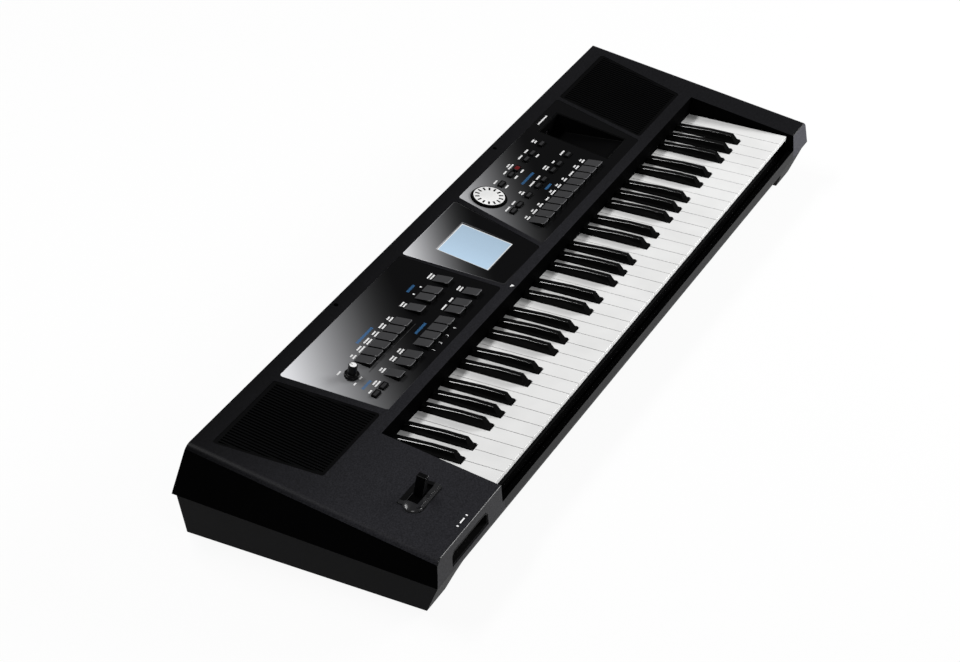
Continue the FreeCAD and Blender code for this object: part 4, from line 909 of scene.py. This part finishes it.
class KEYBOARD_OT_knob(bpy.types.Operator):
    """Volume knob with a pale cap and a pointer"""

    bl_idname = "keyboard.knob"
    bl_label = "Knob"

    def execute(self, context):
        black = moulding("satin_knob", (0.002, 0.002, 0.0023), 0.3, 0.2)
        piece = copy_of("volume_knob", "volume_knob_grip")
        round_off(piece, 0.7 * MM, 3)
        stand_for(piece, "volume_knob", black)
        middle = TOP_POINT + TOP_NORMAL * (crest("volume_knob") - 0.15 * MM)
        deselect()
        bpy.ops.mesh.primitive_cylinder_add(vertices=40, radius=CAP_RADIUS, depth=CAP_DEPTH, location=middle,
                                            rotation=LYING)
        cap = named(context, "volume_knob_cap")
        settle()
        round_off(cap, 0.15 * MM)
        fit(cap, "volume_knob", "knob", moulding("pale_cap", (0.86, 0.86, 0.86), 0.4, 0.4))
        spot = middle + TOP_NORMAL * 0.2 * MM + UP_SLOPE * POINTER_OUT
        pointer = bar(context, "volume_knob_pointer", spot, POINTER_SIZE, 0.08 * MM)
        fit(pointer, "volume_knob", "knob", black)
        return {"FINISHED"}


MARKS_OUT, MARK_SIZE = 14.9 * MM, (5.6, 2.3, 0.12)
# The width and depth of the painted shadow ring round the dial.
RING_WIDTH, RING_DEPTH = 3 * MM, 0.1 * MM


class KEYBOARD_OT_dial(bpy.types.Operator):
    """Data dial with a pale face and dark marks round its rim"""

    bl_idname = "keyboard.dial"
    bl_label = "Dial"

    def execute(self, context):
        centre = Vector(JOINTS["dial_turn"]["pos_m"])
        piece = copy_of("data_dial", "data_dial_face")
        # One dark colour for the printed marks, the painted shadow ring round the dial, and the dial's sides and
        # the band round its face.
        dark = moulding("dial_marks", (0.002, 0.002, 0.002), 0.5, 0.04)
        self.ring(context, centre, dark)
        crown = crest("data_dial")
        pick(piece, "FACE",
             lambda face: near(height_of(face.center), crown) and face.normal.dot(TOP_NORMAL) > SQUARE)
        bpy.ops.mesh.inset(thickness=sizes().dial_band, depth=0)
        done()
        round_off(piece, 0.5 * MM, 3)
        stand_for(piece, "data_dial", dark, moulding("pale_dial", (0.86, 0.86, 0.855), 0.35, 0.4))
        recolour(piece, lambda face: near(height_of(face.center), crown) and face.area > 400 * MM * MM, 1)
        deselect()
        top = centre + TOP_NORMAL * (crown + INK - height_of(centre))
        bpy.ops.mesh.primitive_cube_add(size=MM, location=(0, 0, 0))
        marks = named(context, "data_dial_marks")
        edit_all(marks)
        bpy.ops.mesh.delete(type="VERT")
        count = sizes().dial_marks
        for number in range(count):
            angle = 2 * math.pi * number / count
            out = Vector((1, 0, 0)) * math.cos(angle) + UP_SLOPE * math.sin(angle)
            spot = top + out * MARKS_OUT
            bpy.ops.mesh.primitive_cube_add(size=MM, location=spot, rotation=(0, 0, 0))
            bpy.ops.transform.resize(value=MARK_SIZE, center_override=spot)
            bpy.ops.transform.rotate(value=-angle, orient_axis="Z", center_override=spot)
            bpy.ops.transform.rotate(value=-TILT, orient_axis="X", center_override=spot)
        done()
        settle()
        fit(marks, "data_dial", "dial", dark)
        return {"FINISHED"}

    def ring(self, context, centre, dark):
        """A painted shadow: the dark ring on the panel that the dial stands in."""
        deselect()
        spot = centre + TOP_NORMAL * (PANEL_FACE + INK - height_of(centre))
        bpy.ops.mesh.primitive_circle_add(vertices=72, radius=sizes().dial_ring, fill_type="NGON", location=spot,
                                          rotation=LYING)
        ring = named(context, "dial_ring")
        edit_all(ring)
        bpy.ops.mesh.inset(thickness=RING_WIDTH, depth=0)
        bpy.ops.mesh.delete(type="FACE")
        bpy.ops.mesh.select_all(action="SELECT")
        bpy.ops.mesh.extrude_region_move(TRANSFORM_OT_translate={"value": TOP_NORMAL * RING_DEPTH})
        done()
        settle()
        soften(ring, 0.03 * MM, 1)
        fit(ring, "case", "panel_gloss", dark)


# The bezel's seat above the top, its opening from the middle, the domed end, and the rounding of each corner.
BEZEL_SEAT, OPENING_BACK = 0.3 * MM, Vector((19 * MM, 7 * MM, 0))
DOME_FORWARD, DOME_SIZE = 4, (12.5, 11.5, 4.4)
NEAR_CORNER, FAR_CORNER, CORNER_CUTS = 10 * MM, 5 * MM, 5
DRUM_DEPTH, STEM_HALF = 3 * MM, 4.5 * MM


class KEYBOARD_OT_bender(bpy.types.Operator):
    """Bender lever and its bezel"""

    bl_idname = "keyboard.bender"
    bl_label = "Bender"

    def execute(self, context):
        glossy = moulding("glossy_bezel", (0.003, 0.003, 0.0033), 0.3, 0.08)
        # The inner back wall of the opening is painted pale grey, painted light.
        wall = moulding("satin_bezel_wall", (0.4, 0.4, 0.41), 0.4, 0.3)
        # The lip and the domed end are the bezel's black plastic painted paler, a painted reflection, besides
        # their own gloss.
        lip = moulding("glossy_lip", (0.014, 0.014, 0.0155), 0.25, 0.45)
        # The drum under the lever is painted pale grey, painted light.
        drum = moulding("grey_drum", (0.3, 0.3, 0.31), 0.4, 0.3)
        satin = moulding("satin_lever", (0.002, 0.002, 0.0022), 0.3, 0.08)
        # The lever's rounded edges are painted paler than the lever, a painted highlight, besides their higher
        # gloss.
        edge = polish("polished_lever_edge", (0.03, 0.03, 0.032), 0.12, 0.9)
        bezel = copy_of("bender_bezel", "bender_bezel_plate")
        rim = copy_of("bender_bezel", "bender_bezel_rim")
        low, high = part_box("bender_bezel")
        seat = on_top(low.x / MM, low.y / MM, BEZEL_SEAT)
        cut_off(bezel, seat, TOP_NORMAL)
        cut_off(rim, seat, -TOP_NORMAL)
        self.round_end(rim)
        soften(rim, 0.9 * MM, 3, angle=24)
        opening = (low + high) / 2 - OPENING_BACK
        split(rim, opening, Vector((0, 1, 0)))
        split(rim, opening, Vector((1, 0, 0)))
        take(bezel)
        rim.select_set(True)
        bpy.ops.object.join()
        smooth(bezel)
        stand_for(bezel, "bender_bezel", glossy, wall, lip)

        def on_lip(face):
            return height_of(face.center) > 0.5 * MM and (face.center.y < opening.y or face.center.x < opening.x)

        recolour(bezel, on_lip, 2)
        # The back wall of the opening takes the painted light.
        recolour(bezel, lambda face: face.normal.y < -FACING and face.center.y > (low.y + high.y) / 2, 1)
        lever = copy_of("bender_lever", "bender_lever_paddle")
        dress(lever, satin, drum, edge)
        round_off(lever, 0.9 * MM, 3, material=2)
        stand_for(lever, "bender_lever")
        middle = (low.x + high.x) / 2

        def on_drum(face):
            return height_of(face.center) < -DRUM_DEPTH and abs(face.center.x - middle) > STEM_HALF

        # The drum's surface takes the painted light.
        recolour(lever, on_drum, 1)
        self.bass_end(context, opening, lip)
        paint("bender_axle", metal("bright_steel", (0.6, 0.6, 0.61), 0.25))
        return {"FINISHED"}

    def bass_end(self, context, opening, lip):
        """The domed end of the bezel, at the bass side of its opening."""
        deselect()
        spot = on_top(opening.x / MM, opening.y / MM + DOME_FORWARD)
        bpy.ops.mesh.primitive_uv_sphere_add(segments=48, ring_count=24, radius=MM, location=spot,
                                             rotation=LYING)
        end = named(context, "bender_bezel_end")
        edit_all(end)
        bpy.ops.transform.resize(value=DOME_SIZE, orient_type="LOCAL")
        done()
        settle()
        cut_off(end, spot, -TOP_NORMAL)
        cut_off(end, opening, Vector((1, 0, 0)))
        smooth(end)
        # The domed end takes the lip's painted reflection.
        fit(end, "case", SLOTS["bender_bezel"], lip)

    def round_end(self, piece):
        """Rounds the bass end of the bezel, more on the player's side, by cuts along two arcs."""
        low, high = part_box("bender_bezel")
        for corner_y, side, radius in ((low.y, 1, NEAR_CORNER), (high.y, -1, FAR_CORNER)):
            middle = on_top((low.x + radius) / MM, (corner_y + side * radius) / MM)
            for step in range(1, CORNER_CUTS + 1):
                angle = math.radians(90 * step / (CORNER_CUTS + 1))
                out = Vector((-math.cos(angle), -side * math.sin(angle), 0))
                lean = out - TOP_NORMAL * out.dot(TOP_NORMAL)
                cut_off(piece, middle + out * radius, lean.normalized())


RIM_RADIUS, RIM_DEPTH, RIM_WALL, RIM_FLARE = 3.7 * MM, 1.4 * MM, 0.35 * MM, 1.28
RIM_PROUD, RIM_BACK = 0.1, 0.5 * MM


class KEYBOARD_OT_sockets(bpy.types.Operator):
    """Sockets at the front and the back, with their plated rims"""

    bl_idname = "keyboard.sockets"
    bl_label = "Sockets"

    def execute(self, context):
        black = moulding("matt_socket", (0.004, 0.004, 0.004), 0.55, 0.08)
        plated = metal("plated_rim", (0.5, 0.5, 0.51), 0.25)
        paint("headphone_sockets", black)
        paint("rear_sockets", black)
        for mount in frame["record"]["mounts"]:
            if mount["kind"] != "bore" or abs(mount["axis"][1]) < FACING:
                continue
            out = Vector(mount["axis"])
            face = Vector(mount["pos_m"]) + out * (mount["dims"]["length_mm"] / 2 + RIM_PROUD) * MM
            deselect()
            bpy.ops.mesh.primitive_cylinder_add(
                vertices=40, radius=RIM_RADIUS, depth=RIM_DEPTH, end_fill_type="NOTHING",
                location=face - out * RIM_BACK, rotation=(math.radians(90), 0, 0))
            rim = named(context, mount["name"] + "_rim")
            settle()
            front = max(vertex.co.dot(out) for vertex in rim.data.vertices)
            pick_edges(rim, lambda a, b: near(a.dot(out), front) and near(b.dot(out), front))
            bpy.ops.mesh.extrude_edges_move()
            bpy.ops.transform.resize(value=(RIM_FLARE, 1, RIM_FLARE), center_override=face)
            done()
            thicken(rim, RIM_WALL)
            soften(rim, 0.1 * MM)
            smooth(rim, 40)
            fit(rim, "case", "zinc", plated)
        return {"FINISHED"}


# What is printed beside each control, as places on the sloping top in millimetres.
PITCH, HALF_BUTTON = 17.2, 8.3
UPPER_ROW = [-281.7 + PITCH * number + HALF_BUTTON for number in range(6)] + [-154.2, -129.2, -112.0, -86.7]
LOWER_ROW = [-274.7, -249.7, -232.5, -206.4, -189.2, -172.0, -154.8, -129.7, -112.5, -86.7]
TONE_ROW = [83.6 + PITCH * number + HALF_BUTTON for number in range(10)]
SMALL_LABELS = [(-316.7, 30.0), (-299.7, 30.0)]
FUNCTION_LABELS = [(x, 102.5) for x in (135.4, 161.6, 178, 204.4, 221.4, 248)] + [
    (x, 65.0) for x in (93, 109.4, 135, 161, 178, 203.6, 221.4, 247)]
BLUE_BARS = [(-250, -214, 83.5), (-131, -113, 83.3), (-194, -170, 39), (-318, -299, 39), (152, 184, 74.5),
             (160, 176, 46.5)]
# Each line of words: its row and place, the lengths that its words vary by, and the buttons without one.
LINES = [(UPPER_ROW, 73.6, (8, 5, 6), (7, 8)), (UPPER_ROW, 77.2, (6, 3, 7), (7, 8)),
         (LOWER_ROW, 36.0, (9, 5, 4), range(3, 7)), (LOWER_ROW, 39.4, (7, 3, 5), range(3, 9)),
         (TONE_ROW, 36.0, (8, 4, 6), ()), (TONE_ROW, 39.6, (5, 7, 7), (3, 7))]
LABEL_LENGTHS, SECOND_LENGTHS, UNDER_LENGTH = (7, 5, 7), (6, 3, 5), 8
NEXT_LINE, DOTS_Y, DOT, UNDER_BUTTONS_Y, UNDER_KNOB_Y = 3.6, 75.5, 2.2, 87, 73.5
UNDER_LABELS = (-309, 135.4, 161.6, 178, 221.4)
LOOSE_LABELS = ((-315, 50, 6), (-302, 50, 5), (299, 117.5, 26))
ARROW_PLACE, ARROW_RADIUS = (-45, -7.5), 4.8 * MM
PHONES_Y, PHONES_BAR, PHONES_DOT = -149, (-446.5, 10, 1.6), (2.0, 2.4)
PHONES_X = (-457, -436)
BAR_STROKE = (3.6, 1.1, 1.9)
NUMBERS_X, NUMBERS_Y = (-208, -191.5, -174.5, -157.5), 6.8
NUMBER_SIZE, NUMBER_DEPTH, INK_SHEET = 5.6 * MM, 0.03 * MM, 0.05 * MM


def varied(number, least, step, span):
    """The length of one word in a row, unlike that of the words beside it."""
    return least + number * step % span


class KEYBOARD_OT_print(bpy.types.Operator):
    """Generic print on the panels: dashes, bars, arrows and plain numbers"""

    bl_idname = "keyboard.print"
    bl_label = "Panel Print"

    def begin(self, context, name):
        deselect()
        bpy.ops.mesh.primitive_plane_add(size=1, location=(0, 0, 0))
        piece = named(context, name)
        reopen()
        bpy.ops.mesh.delete(type="VERT")
        return piece

    def dash(self, x, y, width, height, level=PANEL_FACE):
        spot = on_top(x, y, level + INK)
        bpy.ops.mesh.primitive_plane_add(size=MM, location=spot, rotation=LYING)
        bpy.ops.transform.resize(value=(width, height, height), center_override=spot)

    def word(self, x, y, length, height, stroke=1.05, step=1.35):
        """A run of small strokes that reads as a word from afar."""
        count = max(1, round(length / step))
        for number in range(count):
            tall = height * (0.8 + 0.2 * ((number * 7 + round(x)) % 3) / 2)
            self.dash(x + (number - (count - 1) / 2) * step, y, stroke, tall)

    def end(self, piece, material):
        done()
        thicken(piece, INK_SHEET, 1)
        fit(piece, "case", "panel_gloss", material)

    def execute(self, context):
        white = moulding("white_print", tint_of("print_white"), 0.5, 0.2)
        blue = moulding("blue_print", tint_of("print_blue"), 0.5, 0.2)
        tall = sizes().print_height / MM
        piece = self.begin(context, "panel_print_white")
        for row, y, lengths, bare in LINES:
            for number, x in enumerate(row):
                if number not in bare:
                    self.word(x, y, varied(number, *lengths), tall)
        for x in UPPER_ROW[7:9]:
            self.dash(x, DOTS_Y, DOT, DOT)
        for number, (x, y) in enumerate(SMALL_LABELS + FUNCTION_LABELS):
            self.word(x, y, varied(number, *LABEL_LENGTHS), tall)
            if number % 3 == 1:
                self.word(x, y + NEXT_LINE, varied(number, *SECOND_LENGTHS), tall)
        for x in UNDER_LABELS:
            self.word(x, UNDER_BUTTONS_Y if x > 0 else UNDER_KNOB_Y, UNDER_LENGTH, tall)
        for x, y, width in LOOSE_LABELS:
            self.word(x, y, width, tall)
        self.end(piece, white)
        piece = self.begin(context, "case_print_white")
        bpy.ops.mesh.primitive_circle_add(vertices=3, radius=ARROW_RADIUS, fill_type="NGON",
                                          location=on_top(*ARROW_PLACE, INK), rotation=(TILT, 0, math.pi))
        middle, width, height = PHONES_BAR
        self.dash(middle, PHONES_Y, width, height, TOP_HEIGHT)
        for x in PHONES_X:
            self.dash(x, PHONES_Y, *PHONES_DOT, TOP_HEIGHT)
        self.end(piece, white)
        piece = self.begin(context, "panel_print_blue")
        for left, right, y in BLUE_BARS:
            self.word((left + right) / 2, y, right - left, *BAR_STROKE)
        self.end(piece, blue)
        for number, x in enumerate(NUMBERS_X, start=1):
            deselect()
            spot = on_top(x, NUMBERS_Y, PANEL_FACE + INK)
            bpy.ops.object.text_add(location=spot, rotation=LYING)
            text = named(context, f"panel_number_{number}")
            text.data.body = str(number)
            text.data.size = NUMBER_SIZE
            text.data.align_x = "CENTER"
            text.data.extrude = NUMBER_DEPTH
            bpy.ops.object.convert(target="MESH")
            settle()
            fit(text, "case", "panel_gloss", white)
        return {"FINISHED"}


class KEYBOARD_OT_inside(bpy.types.Operator):
    """Finishes of the feet and of the pieces inside the case"""

    bl_idname = "keyboard.inside"
    bl_label = "Feet and Inside"

    def execute(self, context):
        steel = bpy.data.materials["bright_steel"]
        laminate = board("laminate")
        for node in ("main_board", "panel_boards", "key_contact_board"):
            paint(node, laminate)
        for node in ("key_pivot_rod", "case_screws"):
            paint(node, steel)
        for node in ("volume_potentiometer", "dial_encoder"):
            paint(node, metal("plated_" + node, (0.5, 0.5, 0.5), 0.35))
        paint("key_chassis", moulding("chassis_moulding", (0.0025, 0.0025, 0.0027), 0.6, 0.05))
        paint("key_stop_felt", felt("pressed_felt", tint_of("felt")))
        feet = copy_of("rubber_feet", "rubber_feet_pads")
        round_off(feet, 0.8 * MM, 3)
        stand_for(feet, "rubber_feet", moulding("matt_rubber", (0.01, 0.01, 0.01), 0.8, 0.15, 1200, 0.3))
        return {"FINISHED"}


# Each light's name, the setting of its power, its place and aim, and its width and height in metres.
LAMPS = [("overhead_light", "key_power", (-0.3, 1.2, 2.3), (0, 0, 0.1), 1.6, 0.4),
         ("side_light", "side_power", (-1.2, -1.0, 1.8), (-0.3, 0, 0.1), 0.5, 0.3),
         ("front_light", "front_power", (1.4, -1.3, 1.0), (0, -0.1, 0.1), 1.2, 0.6)]
CAMERA_PLACE, CAMERA_TURN = (-2.455275, -1.189247, 1.794979), (56.827101, 0.366638, -62.941735)
CAMERA_SHIFT = (0.016938, -0.000469)
FLOOR_SIZE, FLOOR_DROP, FLOOR_WHITE = 30, 0.2 * MM, 0.93


class KEYBOARD_OT_stage(bpy.types.Operator):
    """Pale floor, soft lights and the camera"""

    bl_idname = "keyboard.stage"
    bl_label = "Stage"

    def whiten(self, tree, surface, strength):
        """Plain white for what the camera sees directly or in a reflection, and the given surface otherwise."""
        path = tree.nodes.new("ShaderNodeLightPath")
        every = path.outputs["Is Camera Ray"]
        for ray in ("Is Glossy Ray", "Is Transmission Ray"):
            either = add(tree, "ShaderNodeMath", operation="MAXIMUM")
            link(every, either.inputs[0])
            link(path.outputs[ray], either.inputs[1])
            every = either.outputs["Value"]
        scaled = add(tree, "ShaderNodeMath", operation="MULTIPLY")
        scaled.inputs[1].default_value = strength
        link(every, scaled.inputs[0])
        mix = tree.nodes.new("ShaderNodeMixShader")
        link(scaled.outputs["Value"], mix.inputs["Fac"])
        link(surface, mix.inputs[1])
        return mix

    def floor(self, context):
        deselect()
        bpy.ops.mesh.primitive_plane_add(size=FLOOR_SIZE, location=(0, 0, -FLOOR_DROP))
        floor = named(context, "floor")
        material, tree, shader = finish("pale_floor", (0.9, 0.9, 0.9), 0.9, 0.0)
        glow = add(tree, "ShaderNodeEmission", color=(1, 1, 1, 1), strength=1.0)
        mix = self.whiten(tree, shader.outputs["BSDF"], FLOOR_WHITE)
        link(glow.outputs["Emission"], mix.inputs[2])
        link(mix.outputs["Shader"], tree.nodes["Material Output"].inputs["Surface"])
        floor.data.materials.append(material)

    def world(self, context):
        world = bpy.data.worlds.new("studio")
        world.use_nodes = True
        even = world.node_tree.nodes["Background"]
        even.inputs["Color"].default_value = (1, 1, 1, 1)
        even.inputs["Strength"].default_value = context.scene.keyboard_stage.ambient
        context.scene.world = world

    def lamp(self, context, name, place, aim, width, height, power):
        deselect()
        bpy.ops.object.light_add(type="AREA", location=place)
        lamp = named(context, name)
        lamp.data.shape = "RECTANGLE"
        lamp.data.size = width
        lamp.data.size_y = height
        lamp.data.energy = power
        lamp.rotation_mode = "QUATERNION"
        lamp.rotation_quaternion = (Vector(aim) - Vector(place)).to_track_quat("-Z", "Y")

    def camera(self, context):
        deselect()
        turn = tuple(math.radians(angle) for angle in CAMERA_TURN)
        bpy.ops.object.camera_add(location=CAMERA_PLACE, rotation=turn)
        camera = named(context, "camera")
        camera.data.sensor_width = 36
        camera.data.lens = context.scene.keyboard_stage.focal_length
        camera.data.shift_x, camera.data.shift_y = CAMERA_SHIFT
        camera.data.clip_end = 100
        context.scene.camera = camera

    def execute(self, context):
        stage = context.scene.keyboard_stage
        self.floor(context)
        self.world(context)
        for name, power, place, aim, width, height in LAMPS:
            self.lamp(context, name, place, aim, width, height, getattr(stage, power))
        self.camera(context)
        context.scene.view_settings.view_transform = "Standard"
        return {"FINISHED"}


class KEYBOARD_PT_pieces(bpy.types.Panel):
    """Lists the pieces of the keyboard"""

    bl_idname = "KEYBOARD_PT_pieces"
    bl_label = "Arranger Keyboard"
    bl_space_type = "VIEW_3D"
    bl_region_type = "UI"
    bl_category = "Keyboard"

    def draw(self, context):
        for operator in OPERATORS:
            self.layout.operator(operator.bl_idname)
        for group in (context.scene.keyboard_sizes, context.scene.keyboard_colours, context.scene.keyboard_stage):
            for name in group.bl_rna.properties.keys():
                if name not in ("rna_type", "name"):
                    self.layout.prop(group, name)


OPERATORS = [KEYBOARD_OT_case, KEYBOARD_OT_panels, KEYBOARD_OT_grilles, KEYBOARD_OT_screen, KEYBOARD_OT_white_keys,
             KEYBOARD_OT_black_keys, KEYBOARD_OT_buttons, KEYBOARD_OT_knob, KEYBOARD_OT_dial, KEYBOARD_OT_bender,
             KEYBOARD_OT_sockets, KEYBOARD_OT_print, KEYBOARD_OT_inside, KEYBOARD_OT_stage]
CLASSES = [KeyboardSizes, KeyboardColours, KeyboardStage, *OPERATORS, KEYBOARD_PT_pieces]


def register():
    for item in CLASSES:
        bpy.utils.register_class(item)
    bpy.types.Scene.keyboard_sizes = PointerProperty(type=KeyboardSizes)
    bpy.types.Scene.keyboard_colours = PointerProperty(type=KeyboardColours)
    bpy.types.Scene.keyboard_stage = PointerProperty(type=KeyboardStage)


def unregister():
    del bpy.types.Scene.keyboard_stage
    del bpy.types.Scene.keyboard_colours
    del bpy.types.Scene.keyboard_sizes
    for item in reversed(CLASSES):
        bpy.utils.unregister_class(item)


def main():
    register()
    bpy.ops.keyboard.case()
    bpy.ops.keyboard.panels()
    bpy.ops.keyboard.grilles()
    bpy.ops.keyboard.screen()
    bpy.ops.keyboard.white_keys()
    bpy.ops.keyboard.black_keys()
    bpy.ops.keyboard.buttons()
    bpy.ops.keyboard.knob()
    bpy.ops.keyboard.dial()
    bpy.ops.keyboard.bender()
    bpy.ops.keyboard.sockets()
    bpy.ops.keyboard.print()
    bpy.ops.keyboard.inside()
    bpy.ops.keyboard.stage()


if __name__ == "__main__":
    main()
